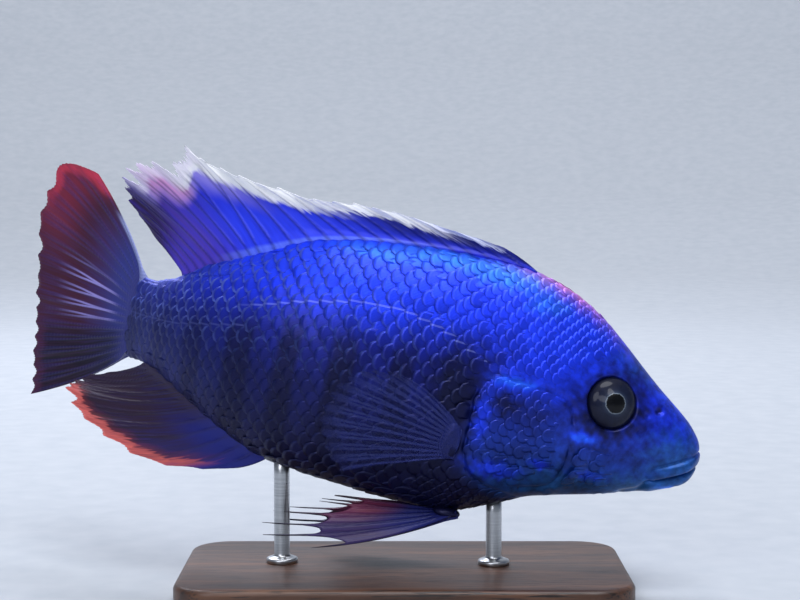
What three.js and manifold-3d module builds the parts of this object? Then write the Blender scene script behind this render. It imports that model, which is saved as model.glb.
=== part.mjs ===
// Peacock cichlid, life size, turning as it swims, held over a small plinth by two short rods.
// Millimetres, +Z up. The fish faces +X, its left side faces +Y, and the origin is under the plinth.
import * as THREE from "three";
import { mergeVertices } from "three/addons/utils/BufferGeometryUtils.js";
import Module from "manifold-3d";

const wasm = await Module();
wasm.setup();

// Driving dimensions of the fish
const STANDARD_LENGTH = 119; // snout to the root of the tail fin
const BODY_DEPTH = 48.5; // back to belly, without the fins
const HALF_WIDTH = 11.2; // at the gill covers
const EYE_DIAMETER = 10.2;
const TAIL_FIN_LENGTH = 31.5;
const PECTORAL_LENGTH = 28;
const PELVIC_LENGTH = 34;

// The pose: nose down, the rear half of the body turned towards the fish's left
const NOSE_DOWN = THREE.MathUtils.degToRad(12.2);
const TURN_STARTS = 55; // distance from the snout where the body starts to turn
const TURN_AT_TAIL = THREE.MathUtils.degToRad(54);
const TURN_GROWTH = 1.4; // how sharply the turn tightens towards the tail
const TAIL_FIN_LAG = THREE.MathUtils.degToRad(30); // how much the fin's free edge straightens out again
const SNOUT_FORWARD = 56; // from the plinth's centre
const SNOUT_HEIGHT = 27;

// The stand
const PLINTH = { length: 84, width: 46, height: 5, corner: 8, bevel: 0.7 };
const ROD_RADIUS = 1.5;
const ROD_FOOT = { radius: 3, height: 1.2 };
const ROD_PLACES = { front: 36, rear: 77 }; // distances from the snout

const GAP = 0.3; // between solids that touch on the real fish
const MEMBRANE = 0.26; // half the thickness of a fin's web

const RING_SIDES = 32;

// Evenly spaced values from one to another
function spread(from, to, count) {
  return Array.from({ length: count }, (_, i) => THREE.MathUtils.lerp(from, to, i / (count - 1)));
}

// A smooth curve through [share of the length, share of the size] pairs, in millimetres.
function profile(size, pairs) {
  const at = pairs.map((p) => p[0] * STANDARD_LENGTH);
  const value = pairs.map((p) => p[1] * size);
  const slope = at.map((_, i) => {
    const before = Math.max(i - 1, 0);
    const after = Math.min(i + 1, at.length - 1);
    return (value[after] - value[before]) / (at[after] - at[before]);
  });
  return (s) => {
    const d = THREE.MathUtils.clamp(s, at[0], at[at.length - 1]);
    let i = 0;
    while (i < at.length - 2 && d > at[i + 1]) i += 1;
    const span = at[i + 1] - at[i];
    const t = (d - at[i]) / span;
    const rise = 3 * t * t - 2 * t * t * t;
    const leave = t * (1 - t) * (1 - t) * span;
    const arrive = t * t * (t - 1) * span;
    return value[i] * (1 - rise) + value[i + 1] * rise + slope[i] * leave + slope[i + 1] * arrive;
  };
}

// The body's outline from the side, and its half width, from the snout to the root of the tail fin
const back = profile(BODY_DEPTH, [
  [0, -0.015], [0.004, 0.018], [0.012, 0.05], [0.03, 0.098], [0.088, 0.207], [0.2, 0.427], [0.282, 0.52], [0.38, 0.552],
  [0.508, 0.541], [0.605, 0.511], [0.672, 0.468], [0.756, 0.375], [0.84, 0.283], [0.903, 0.205], [0.95, 0.166],
  [1, 0.158],
]);
const belly = profile(BODY_DEPTH, [
  [0, -0.06], [0.004, -0.092], [0.012, -0.125], [0.025, -0.155], [0.065, -0.196], [0.142, -0.252], [0.25, -0.318], [0.3, -0.37],
  [0.37, -0.435], [0.45, -0.44], [0.53, -0.428], [0.62, -0.412], [0.69, -0.385], [0.76, -0.325], [0.84, -0.245],
  [0.903, -0.192], [0.95, -0.172], [1, -0.176],
]);
const halfWidth = profile(HALF_WIDTH, [
  [0, 0.03], [0.004, 0.16], [0.012, 0.27], [0.03, 0.4], [0.08, 0.57], [0.16, 0.765], [0.25, 0.91], [0.35, 0.985], [0.46, 0.97],
  [0.59, 0.865], [0.71, 0.67], [0.84, 0.42], [0.92, 0.27], [1, 0.16],
]);
// How far the gill covers stand proud of the trunk behind them
const gillFlare = profile(1, [[0, 0], [0.2, 0], [0.3, 0.45], [0.36, 0.75], [0.45, 0.8]]);
// Where the widest line lies, as a share of the way from belly to back
const widestLine = profile(1, [[0, 0.5], [0.1, 0.46], [0.25, 0.4], [0.45, 0.45], [0.8, 0.5], [1, 0.5]]);
// Powers of the section's sine: over 1 draws a ridge, under 1 a flatter curve
const ridgePower = profile(1, [[0, 0.9], [0.06, 1], [0.2, 1.15], [0.45, 1.2], [0.8, 1.1], [1, 1]]);
const keelPower = profile(1, [[0, 0.9], [0.1, 0.95], [0.3, 0.9], [0.5, 0.8], [0.7, 0.95], [1, 1]]);

// How far the body has turned at a distance from the snout
function turnAt(s) {
  const share = Math.max(0, (Math.min(s, STANDARD_LENGTH) - TURN_STARTS) / (STANDARD_LENGTH - TURN_STARTS));
  const past = Math.max(0, s - STANDARD_LENGTH) / TAIL_FIN_LENGTH;
  return TURN_AT_TAIL * Math.pow(share, TURN_GROWTH) - TAIL_FIN_LAG * Math.min(past, 1);
}

// The midline seen from above, stepped along from the snout
const MIDLINE_STEP = 0.5;
const midline = [new THREE.Vector2(0, 0)];
for (let s = 0; s < STANDARD_LENGTH + TAIL_FIN_LENGTH * 1.4; s += MIDLINE_STEP) {
  const turn = turnAt(s + MIDLINE_STEP / 2);
  const last = midline[midline.length - 1];
  midline.push(new THREE.Vector2(last.x - Math.cos(turn) * MIDLINE_STEP, last.y + Math.sin(turn) * MIDLINE_STEP));
}

// A point of the fish: s back from the snout along the midline, y to its left, z up.
function place(s, y, z) {
  const step = Math.max(0, Math.min(s / MIDLINE_STEP, midline.length - 2));
  const i = Math.floor(step);
  const on = midline[i].clone().lerp(midline[i + 1], step - i);
  if (s < 0) on.x -= s;
  const turn = turnAt(s);
  return new THREE.Vector3(on.x + y * Math.sin(turn), on.y + y * Math.cos(turn), z);
}

// The middle height and the half width of the skin at a height on one cross section
function sectionMiddle(s) {
  return THREE.MathUtils.lerp(belly(s), back(s), widestLine(s));
}

function skinY(s, z, flare = 0) {
  const middle = sectionMiddle(s);
  const above = z > middle;
  const cosine = THREE.MathUtils.clamp((z - middle) / (above ? back(s) - middle : middle - belly(s)), -1, 1);
  const power = above ? ridgePower(s) : keelPower(s);
  return (halfWidth(s) + flare * gillFlare(s)) * Math.pow(Math.sqrt(1 - cosine * cosine), power);
}

// A solid from a three.js geometry
function solidOf(geometry) {
  const bare = geometry.clone();
  for (const name of Object.keys(bare.attributes)) {
    if (name !== "position") bare.deleteAttribute(name);
  }
  const merged = mergeVertices(bare, 1e-4);
  return new wasm.Manifold(
    new wasm.Mesh({
      numProp: 3,
      vertProperties: merged.attributes.position.array,
      triVerts: new Uint32Array(merged.index.array),
    }),
  );
}

// A three.js geometry from a solid, of its largest closed surface only
function geometryOf(solid) {
  const pieces = solid.decompose();
  pieces.sort((a, b) => b.volume() - a.volume());
  const mesh = pieces[0].getMesh();
  return new THREE.BufferGeometry()
    .setAttribute("position", new THREE.BufferAttribute(new Float32Array(mesh.vertProperties), 3))
    .setIndex(new THREE.BufferAttribute(new Uint32Array(mesh.triVerts), 1));
}

// Closed rings of points in order make a tube with a fan over each end.
function skinRings(rings) {
  const sides = rings[0].length;
  const points = rings.flat();
  const faces = [];
  for (let r = 0; r + 1 < rings.length; r += 1) {
    for (let j = 0; j < sides; j += 1) {
      const a = r * sides + j;
      const b = r * sides + ((j + 1) % sides);
      faces.push(a, b, a + sides, b, b + sides, a + sides);
    }
  }
  const last = (rings.length - 1) * sides;
  const middleOf = (ring) => ring.reduce((sum, p) => sum.add(p), new THREE.Vector3()).divideScalar(ring.length);
  points.push(middleOf(rings[0]), middleOf(rings[rings.length - 1]));
  for (let j = 0; j < sides; j += 1) {
    const next = (j + 1) % sides;
    faces.push(points.length - 2, next, j, points.length - 1, last + j, last + next);
  }
  return new THREE.BufferGeometry().setFromPoints(points).setIndex(faces);
}

// The body between two distances from the snout. grow moves the whole skin out, narrow thins it sideways only.
function bodyLoft(from, to, count, { grow = 0, flare = 0, narrow = 0, crowd = 1 } = {}) {
  const rings = [];
  for (let i = 0; i <= count; i += 1) {
    const s = from + (to - from) * Math.pow(i / count, crowd);
    const middle = sectionMiddle(s);
    const width = halfWidth(s) + flare * gillFlare(s) + grow - narrow;
    const ring = [];
    for (let j = 0; j < RING_SIDES; j += 1) {
      const angle = (2 * Math.PI * j) / RING_SIDES;
      const up = Math.cos(angle);
      const out = Math.sin(angle);
      const reach = up > 0 ? back(s) + grow - middle : middle - belly(s) + grow;
      const power = up > 0 ? ridgePower(s) : keelPower(s);
      ring.push(place(s, Math.sign(out) * width * Math.pow(Math.abs(out), power), middle + reach * up));
    }
    rings.push(ring);
  }
  return skinRings(rings);
}

// A prism right through the fish, or through one side of it, from an outline of [s, z] pairs
function sidePrism(outline, side = 0) {
  const shape = new THREE.Shape(outline.map(([s, z]) => new THREE.Vector2(-s, z)).reverse());
  const depth = side ? HALF_WIDTH * 2 : HALF_WIDTH * 4;
  const geometry = new THREE.ExtrudeGeometry(shape, { depth, bevelEnabled: false });
  geometry.rotateX(Math.PI / 2);
  geometry.translate(0, side < 0 ? 0 : side > 0 ? depth : depth / 2, 0);
  return solidOf(geometry);
}

// The same outline with every edge moved out by a gap. The corners of the outline run one way round.
function swollen(outline, gap) {
  const points = outline.map(([s, z]) => new THREE.Vector2(s, z));
  const turn = Math.sign(THREE.ShapeUtils.area(points));
  const outward = (from, to) => new THREE.Vector2(to.y - from.y, from.x - to.x).normalize().multiplyScalar(turn);
  return points.map((p, i) => {
    const before = points[(i + points.length - 1) % points.length];
    const after = points[(i + 1) % points.length];
    const one = outward(before, p);
    const two = outward(p, after);
    const corner = one.clone().add(two).normalize();
    const moved = p.clone().addScaledVector(corner, gap / Math.max(0.5, corner.dot(one)));
    return [moved.x, moved.y];
  });
}

// Outlines on the side of the head, as [distance from the snout, height]
const MOUTH_CORNER = [9.2, -7.7];
const mouthHeight = (s) => -3 + (MOUTH_CORNER[1] + 3) * Math.pow(Math.max(s, 0) / MOUTH_CORNER[0], 0.8);
const mouthLine = [0, 1, 2.5, 4.5, 7].map((s) => [s, mouthHeight(s)]);
const JAW_OUTLINE = [[-4, -2.6], ...mouthLine, MOUTH_CORNER, [13.5, -10.4], [17.2, -13], [17.4, -20], [-4, -20]];
const GILL_OPENING = [
  [-6, 40], [30.5, 40], [31, 24], [35.5, 13], [39.5, 7.4], [42.4, 4.8], [43.6, 1.5], [43.7, -3], [43.9, -8],
  [42.6, -11.6], [38.6, -13.8], [33.5, -15], [29.5, -16.2], [27, -19], [27, -30], [-6, -30],
];
const GILL_COVER = [
  [26.4, 3.8], [29.5, 5.4], [34, 6.4], [38.5, 6.4], [43, 4.6], [46, 1], [46, -8], [43.5, -11], [38.4, -13],
  [32.5, -13.4], [27.6, -12], [25.6, -8], [25.4, -2],
];
const COVER_THICKNESS = 1.9;

// The eye sits on the slope of the cheek and looks out, a little forward and up.
const EYE = { s: 19.6, z: 5.5, sunk: 1.9, depth: 3.3, forward: 0.2, upward: 0.16 };

function eyeball(side, radius, depth, segments) {
  const ball = new THREE.SphereGeometry(1, segments, segments / 2 + 2);
  ball.rotateX(Math.PI / 2);
  ball.scale(radius, depth, radius);
  ball.rotateX(side * EYE.upward);
  ball.rotateZ(-side * EYE.forward);
  ball.translate(-EYE.s, side * (skinY(EYE.s, EYE.z) - EYE.sunk), EYE.z);
  return ball;
}

// A ring of flesh round the eye
function orbitRim(side) {
  const rim = new THREE.TorusGeometry(EYE_DIAMETER / 2 + 0.35, 0.75, 6, 20);
  rim.rotateX(Math.PI / 2);
  rim.rotateX(side * EYE.upward);
  rim.rotateZ(-side * EYE.forward);
  rim.translate(-EYE.s, side * (skinY(EYE.s, EYE.z) - 0.5), EYE.z);
  return rim;
}

function nostril(side) {
  const s = 10;
  const z = 5.8;
  const pit = new THREE.CylinderGeometry(0.55, 0.35, 3, 10);
  pit.scale(1.3, 1, 1);
  pit.translate(-s, side * skinY(s, z), z);
  return pit;
}

// A lip: a roll that follows the mouth from one corner round the front to the other, thickest in front
const LIP = { upper: 1.4, lower: 1.3, front: 0.9, steps: 18, sides: 8 };

function lip(offset, thickest) {
  const length = MOUTH_CORNER[0] - LIP.front;
  const rings = spread(1, -1, LIP.steps).map((t) => {
    const s = LIP.front + length * t * t;
    const radius = thickest * (1 - 0.45 * t * t);
    const line = mouthHeight(s);
    const y = Math.sign(t) * (skinY(s, line) - 0.3 * radius) * Math.min(1, Math.abs(t) * 3.5);
    const along = new THREE.Vector3(-2 * length * t, 7, 0).normalize();
    const out = new THREE.Vector3(along.y, -along.x, 0);
    const centre = new THREE.Vector3(-s, y, line + offset * radius);
    return Array.from({ length: LIP.sides }, (_, j) => {
      const angle = (2 * Math.PI * j) / LIP.sides;
      const point = centre.clone().addScaledVector(out, radius * Math.cos(angle));
      point.z += radius * Math.sin(angle);
      return point;
    });
  });
  return solidOf(skinRings(rings));
}

// A fin: rays are functions from 0 at the root to 1 at the tip. Between two rays the web has columns of its own,
// and its free edge stops short of the tips. Rays stand proud of the web by ridge, less so towards their tips,
// and the whole sheet is as thick as flesh at its root.
function finSheet(rays, { rows, web = [0.3, 0.7], reach = 0.93, ridge = 0.3, flesh = 0.6 }) {
  const rootSwell = (t) => (flesh - MEMBRANE) * Math.pow(Math.max(0, 1 - 4 * t), 2);
  const columns = [];
  rays.forEach((ray, i) => {
    columns.push({ at: ray, thick: (t) => MEMBRANE + Math.max(ridge * (1 - 0.8 * t), rootSwell(t)) });
    if (i + 1 === rays.length) return;
    for (const share of web) {
      columns.push({
        at: (t) => ray(t * reach).lerp(rays[i + 1](t * reach), share),
        thick: (t) => MEMBRANE + rootSwell(t),
      });
    }
  });
  const middle = columns.map((c) => Array.from({ length: rows + 1 }, (_, r) => c.at(r / rows)));
  const points = [];
  const last = columns.length - 1;
  for (const side of [1, -1]) {
    for (let c = 0; c <= last; c += 1) {
      for (let r = 0; r <= rows; r += 1) {
        const across = middle[Math.min(c + 1, last)][r].clone().sub(middle[Math.max(c - 1, 0)][r]);
        const along = middle[c][Math.min(r + 1, rows)].clone().sub(middle[c][Math.max(r - 1, 0)]);
        const normal = across.cross(along).normalize();
        points.push(middle[c][r].clone().addScaledVector(normal, side * columns[c].thick(r / rows)));
      }
    }
  }
  const faces = [];
  const other = (last + 1) * (rows + 1);
  const index = (c, r) => c * (rows + 1) + r;
  for (let c = 0; c < last; c += 1) {
    for (let r = 0; r < rows; r += 1) {
      const [p, q, u, v] = [index(c, r), index(c + 1, r), index(c, r + 1), index(c + 1, r + 1)];
      faces.push(p, q, v, p, v, u);
      faces.push(other + p, other + v, other + q, other + p, other + u, other + v);
    }
    for (const r of [0, rows]) {
      const [p, q] = r ? [index(c + 1, r), index(c, r)] : [index(c, r), index(c + 1, r)];
      faces.push(p, other + q, q, p, other + p, other + q);
    }
  }
  for (let r = 0; r < rows; r += 1) {
    for (const c of [0, last]) {
      const [p, u] = c ? [index(c, r + 1), index(c, r)] : [index(c, r), index(c, r + 1)];
      faces.push(p, u, other + u, p, other + u, other + p);
    }
  }
  return new THREE.BufferGeometry().setFromPoints(points).setIndex(faces);
}

// A ray of a fin on the midline: it leaves the body at s, runs straight along the heading there, and bows up.
function medianRay(s, height, runs, rises, bow, sway = 0) {
  const root = place(s, 0, height);
  const turn = turnAt(s);
  const aft = new THREE.Vector3(-Math.cos(turn), Math.sin(turn), 0);
  const left = new THREE.Vector3(Math.sin(turn), Math.cos(turn), 0);
  const length = Math.hypot(runs, rises);
  return (t) => {
    const bulge = bow * length * 4 * t * (1 - t);
    return root
      .clone()
      .addScaledVector(aft, runs * t - (bulge * rises) / length)
      .addScaledVector(left, sway * t * t)
      .add(new THREE.Vector3(0, 0, rises * t + (bulge * runs) / length));
  };
}

// Dorsal fin: sixteen spines, half folded, then ten soft rays that end in a point
const DORSAL = { spines: 16, from: 37.5, spinesTo: 87, seam: 1.4, softRays: 10, softFrom: 90, to: 106.8 };
const dorsalRuns = profile(1, [
  [0.315, 7], [0.395, 10], [0.52, 12.5], [0.655, 15], [0.735, 18.5], [0.757, 20.7], [0.773, 21.3], [0.79, 25.5],
  [0.82, 28], [0.85, 25.5], [0.875, 19.5], [0.9, 9],
]);
const dorsalRises = profile(1, [
  [0.315, 3], [0.395, 3.6], [0.455, 4.6], [0.52, 4.9], [0.59, 5.2], [0.655, 7.8], [0.735, 13.2], [0.757, 17],
  [0.773, 13.6], [0.79, 14], [0.82, 13.2], [0.85, 10.6], [0.875, 9], [0.9, 5],
]);

const dorsalRay = (s) => medianRay(s, back(s) + GAP, dorsalRuns(s), dorsalRises(s), 0.03);

const dorsalSpines = () => finSheet(spread(DORSAL.from, DORSAL.spinesTo, DORSAL.spines).map(dorsalRay), { rows: 6 });

// The soft part starts with a ray that lies close along the last spine.
function dorsalSoftRays() {
  const lastSpine = dorsalRay(DORSAL.spinesTo);
  const turn = turnAt(DORSAL.spinesTo);
  const behind = new THREE.Vector3(-Math.cos(turn), Math.sin(turn), 0).multiplyScalar(DORSAL.seam);
  const rays = spread(DORSAL.softFrom, DORSAL.to, DORSAL.softRays).map(dorsalRay);
  return finSheet([(t) => lastSpine(t).add(behind), ...rays], { rows: 6 });
}

// Anal fin: three spines and nine soft rays, swept back to a point
const ANAL = { rays: 13, from: 80, to: 113 };
const analRuns = profile(1, [
  [0.67, 6], [0.7, 10.5], [0.73, 17.6], [0.765, 25], [0.8, 29.5], [0.825, 31], [0.85, 29.5], [0.875, 27], [0.9, 23.5],
  [0.925, 18.5], [0.95, 12],
]);
const analDrops = profile(1, [
  [0.67, 3.4], [0.7, 6.3], [0.73, 8.8], [0.765, 8.3], [0.8, 7], [0.825, 6], [0.85, 5.6], [0.875, 5.8], [0.9, 6.2],
  [0.925, 6], [0.95, 4.4],
]);

function analFin() {
  const rays = spread(ANAL.from, ANAL.to, ANAL.rays).map((s) =>
    medianRay(s, belly(s) - GAP, analRuns(s), -analDrops(s), -0.05),
  );
  return finSheet(rays, { rows: 7, reach: 0.96 });
}

// Tail fin: a wide fan on the end of the tail stem, longest above, its free edge nearly straight. The topmost
// rays are shorter again, which rounds the corner.
const TAIL = { rays: 16, up: 42, down: 31, upCurl: 0.08, downCurl: 0.15, upGain: 0.375, corner: 0.478, downDip: 0.035 };

function tailRayLength(share) {
  const gain = TAIL.upGain * Math.pow(share, 1.2) - TAIL.corner * Math.pow(share, 6);
  return TAIL_FIN_LENGTH * (share > 0 ? 1 + gain : 1 + TAIL.downDip * Math.sin(0.95 * Math.PI * share));
}

function tailFin() {
  const top = back(STANDARD_LENGTH) - 0.5;
  const bottom = belly(STANDARD_LENGTH) + 0.5;
  const rays = spread(-1, 1, TAIL.rays).map((share) => {
    const fan = THREE.MathUtils.degToRad(share > 0 ? TAIL.up * share : TAIL.down * share);
    const curl = share > 0 ? TAIL.upCurl : TAIL.downCurl;
    const length = tailRayLength(share);
    const rootHeight = THREE.MathUtils.lerp(bottom, top, (share + 1) / 2);
    return (t) => {
      const opened = fan * (1 + curl * (0.5 - t));
      const run = length * t * Math.cos(opened);
      return place(STANDARD_LENGTH + GAP + run, 0, rootHeight + length * t * Math.sin(opened));
    };
  });
  return finSheet(rays, { rows: 9, reach: 0.98, flesh: 1.2 });
}

// A ray of a paired fin: from a root point, towards a heading back, out and up, with a droop to its tip
function pairedRay(root, length, upward, outward, droop) {
  const up = THREE.MathUtils.degToRad(upward);
  const out = THREE.MathUtils.degToRad(outward);
  const direction = new THREE.Vector3(-Math.cos(up) * Math.cos(out), Math.cos(up) * Math.sin(out), Math.sin(up));
  return (t) => root.clone().addScaledVector(direction, length * t).add(new THREE.Vector3(0, 0, droop * t * t));
}

const TAIL_STEM_FROM = 107.5;
const bodyClear = solidOf(bodyLoft(26, TAIL_STEM_FROM, 30, { grow: GAP }));

// Mirrors a geometry to the fish's other side and keeps its faces pointing out.
function mirrored(geometry) {
  const copy = geometry.clone();
  copy.scale(1, -1, 1);
  const faces = copy.index.array;
  for (let i = 0; i < faces.length; i += 3) [faces[i], faces[i + 1]] = [faces[i + 1], faces[i]];
  return copy;
}

const onSide = (geometry, side) => (side > 0 ? geometry : mirrored(geometry));

// The fleshy root of a paired fin: a flattened lobe on the skin, cut to the skin's own shape
function finWithRoot(sheet, lobe, side) {
  const whole = solidOf(sheet).add(solidOf(lobe)).subtract(bodyClear);
  return onSide(geometryOf(whole), side);
}

// Pectoral fin: a fan of thirteen rays from a short root behind the gill cover
const PECTORAL = { rays: 13, s: 46, top: -4, bottom: -10, up: 42, down: -12, splay: 22, droop: 1, topDroop: 3.5 };

// A fan with rounded ends, its longest rays just below the middle
const pectoralRayLength = (share) => PECTORAL_LENGTH * (0.5 + 0.47 * Math.sin(Math.PI * (0.1 + 0.72 * share)));

function pectoralFin(side) {
  const rays = spread(0, 1, PECTORAL.rays).map((share) => {
    const z = THREE.MathUtils.lerp(PECTORAL.top, PECTORAL.bottom, share);
    const root = new THREE.Vector3(-PECTORAL.s - 0.8 * share, skinY(PECTORAL.s, z) + GAP + 0.5, z);
    const up = THREE.MathUtils.lerp(PECTORAL.up, PECTORAL.down, share);
    const droop = PECTORAL.droop + PECTORAL.topDroop * (1 - share) ** 2;
    return pairedRay(root, pectoralRayLength(share), up, PECTORAL.splay, -droop);
  });
  const middle = (PECTORAL.top + PECTORAL.bottom) / 2;
  const lobe = new THREE.SphereGeometry(1, 10, 6);
  lobe.scale(2.1, 1.5, 3.7);
  lobe.translate(-PECTORAL.s - 1.3, skinY(PECTORAL.s, middle) + 0.6, middle);
  return finWithRoot(finSheet(rays, { rows: 5, web: [0.5], reach: 0.96 }), lobe, side);
}

// Pelvic fin: a spine and five soft rays, most of them drawn out to threads. The left fin hangs a little lower.
const PELVIC = { s: 43, inner: 2.2, outer: 5, curl: 4, leftLower: 4 };
const PELVIC_SHAPE = [
  { long: 0.9, down: 29, out: 20, curl: 1.3 },
  { long: 1.12, down: 23, out: 17, curl: 1.5 },
  { long: 1.08, down: 19, out: 14, curl: 1.2 },
  { long: 0.92, down: 14, out: 11, curl: 0.6 },
  { long: 0.7, down: 8.5, out: 8, curl: 0.3 },
  { long: 0.6, down: 3, out: 5, curl: 0 },
];

function pelvicFin(side) {
  const rays = PELVIC_SHAPE.map(({ long, down, out, curl }, i) => {
    const share = i / (PELVIC_SHAPE.length - 1);
    const y = THREE.MathUtils.lerp(PELVIC.outer, PELVIC.inner, share);
    const root = new THREE.Vector3(-PELVIC.s - 2.5 * share, y, belly(PELVIC.s) - GAP - 0.3);
    const lower = side > 0 ? PELVIC.leftLower : 0;
    return pairedRay(root, PELVIC_LENGTH * long, -down - lower, out, PELVIC.curl * curl);
  });
  const lobe = new THREE.SphereGeometry(1, 10, 6);
  lobe.scale(2.6, 2, 1.1);
  lobe.translate(-PELVIC.s - 1.6, (PELVIC.inner + PELVIC.outer) / 2, belly(PELVIC.s) - 0.4);
  return finWithRoot(finSheet(rays, { rows: 8, reach: 0.74 }), lobe, side);
}

// The head and its pieces
const headWhole = solidOf(bodyLoft(0.05, 50, 25, { flare: 1, crowd: 1.6 }));
const aheadOfGills = sidePrism(GILL_OPENING);
const jawSpace = sidePrism(JAW_OUTLINE);
const jawClear = sidePrism(JAW_OUTLINE.map(([s, z]) => [s + GAP / 3, z + GAP]));
const coverBack = solidOf(bodyLoft(16, 50, 9, { flare: 1, narrow: COVER_THICKNESS }));
const coverSeat = solidOf(bodyLoft(16, 50, 9, { flare: 1, narrow: COVER_THICKNESS + 1.7 * GAP }));

function headSolid() {
  let head = headWhole.intersect(aheadOfGills).add(lip(0.85, LIP.upper));
  for (const side of [1, -1]) head = head.add(solidOf(orbitRim(side)));
  head = head.subtract(jawClear);
  for (const side of [1, -1]) {
    head = head.subtract(sidePrism(swollen(GILL_COVER, GAP), side).subtract(coverSeat));
    head = head.subtract(solidOf(eyeball(side, EYE_DIAMETER / 2 + GAP, EYE.depth + GAP, 18)));
    head = head.subtract(solidOf(nostril(side)));
  }
  return head;
}

const jawSolid = () => headWhole.add(lip(-0.85, LIP.lower)).intersect(jawSpace);

const coverSolid = (side) =>
  headWhole.intersect(aheadOfGills).intersect(sidePrism(GILL_COVER, side)).subtract(coverBack);

const trunkSolid = () =>
  solidOf(bodyLoft(26, TAIL_STEM_FROM - GAP / 2, 27)).subtract(sidePrism(swollen(GILL_OPENING, GAP)));

// The group that carries the pose
const fish = new THREE.Group();
fish.rotation.y = NOSE_DOWN;
fish.position.set(SNOUT_FORWARD, 0, SNOUT_HEIGHT);
fish.updateMatrixWorld(true);

// Materials
const paint = (color, roughness, metalness = 0) => new THREE.MeshStandardMaterial({ color, roughness, metalness });
const scaledSkin = paint(0x1d35c8, 0.35);
const headSkin = paint(0x1f3fd0, 0.4);
const coverSkin = paint(0x2348e0, 0.35);
const lipSkin = paint(0x2f6fb8, 0.4);
const blueFin = paint(0x2a3fd8, 0.4);
const redFin = paint(0x7a2238, 0.45);
const clearFin = paint(0x39406a, 0.4);
const eyeDark = paint(0x0c0e1c, 0.1);
const darkWood = paint(0x4a2f20, 0.5);
const steel = paint(0xb9bcc0, 0.3, 1);

function add(parent, name, geometry, material) {
  const mesh = new THREE.Mesh(geometry, material);
  mesh.name = name;
  parent.add(mesh);
}

add(fish, "head", geometryOf(headSolid()), headSkin);
add(fish, "lower_jaw", geometryOf(jawSolid()), lipSkin);
add(fish, "trunk", geometryOf(trunkSolid()), scaledSkin);
add(fish, "tail_stem", bodyLoft(TAIL_STEM_FROM + GAP / 2, STANDARD_LENGTH, 5), scaledSkin);
add(fish, "dorsal_fin_spiny", dorsalSpines(), blueFin);
add(fish, "dorsal_fin_soft", dorsalSoftRays(), blueFin);
add(fish, "anal_fin", analFin(), redFin);
add(fish, "tail_fin", tailFin(), redFin);
for (const [name, side] of [["left", 1], ["right", -1]]) {
  add(fish, `gill_cover_${name}`, geometryOf(coverSolid(side)), coverSkin);
  add(fish, `eye_${name}`, eyeball(side, EYE_DIAMETER / 2, EYE.depth, 18), eyeDark);
  add(fish, `pectoral_fin_${name}`, pectoralFin(side), clearFin);
  add(fish, `pelvic_fin_${name}`, pelvicFin(side), redFin);
}

// Stand
function plinth() {
  const { length, width, height, corner, bevel } = PLINTH;
  const [x, y] = [length / 2 - bevel, width / 2 - bevel];
  const r = corner - bevel;
  const shape = new THREE.Shape();
  shape.moveTo(x, -y + r);
  shape.absarc(x - r, y - r, r, 0, Math.PI / 2);
  shape.absarc(-x + r, y - r, r, Math.PI / 2, Math.PI);
  shape.absarc(-x + r, -y + r, r, Math.PI, 1.5 * Math.PI);
  shape.absarc(x - r, -y + r, r, 1.5 * Math.PI, 2 * Math.PI);
  const geometry = new THREE.ExtrudeGeometry(shape, {
    depth: height - 2 * bevel,
    bevelThickness: bevel,
    bevelSize: bevel,
    bevelSegments: 1,
    curveSegments: 5,
  });
  geometry.translate(0, 0, bevel);
  return geometryOf(solidOf(geometry));
}

// A rod from the plinth to just under the belly, with a small foot
function rod(s) {
  const under = place(s, 0, belly(s)).applyMatrix4(fish.matrixWorld);
  const foot = PLINTH.height + GAP;
  const profilePoints = [
    [0, foot], [ROD_FOOT.radius, foot], [ROD_FOOT.radius, foot + ROD_FOOT.height * 0.7],
    [ROD_FOOT.radius - 0.4, foot + ROD_FOOT.height], [ROD_RADIUS, foot + ROD_FOOT.height],
    [ROD_RADIUS, under.z + 3], [0, under.z + 3],
  ].map(([r, z]) => new THREE.Vector2(r, z));
  const turned = new THREE.LatheGeometry(profilePoints, 20).rotateX(Math.PI / 2);
  turned.translate(under.x, under.y, 0);
  const clearance = bodyLoft(26, TAIL_STEM_FROM, 30, { grow: GAP }).applyMatrix4(fish.matrixWorld);
  return geometryOf(solidOf(turned).subtract(solidOf(clearance)));
}

const part = new THREE.Group();
part.add(fish);
add(part, "stand_base", plinth(), darkWood);
add(part, "stand_rod_front", rod(ROD_PLACES.front), steel);
add(part, "stand_rod_rear", rod(ROD_PLACES.rear), steel);

export default part;
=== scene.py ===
# %% [markdown]
# A peacock cichlid on a display stand
# A deep-bodied blue fish, life size, nose down, its rear half turned away, with every fin spread. The
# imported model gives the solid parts, and here they get skin, scales, fin rays, eyes and finishes. The
# body is worked out in millimetres, laid straight, and bent into its pose only at the end, because
# scales and markings are far easier to place on a straight fish.

# %% Load the frame
import functools
import math

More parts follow.
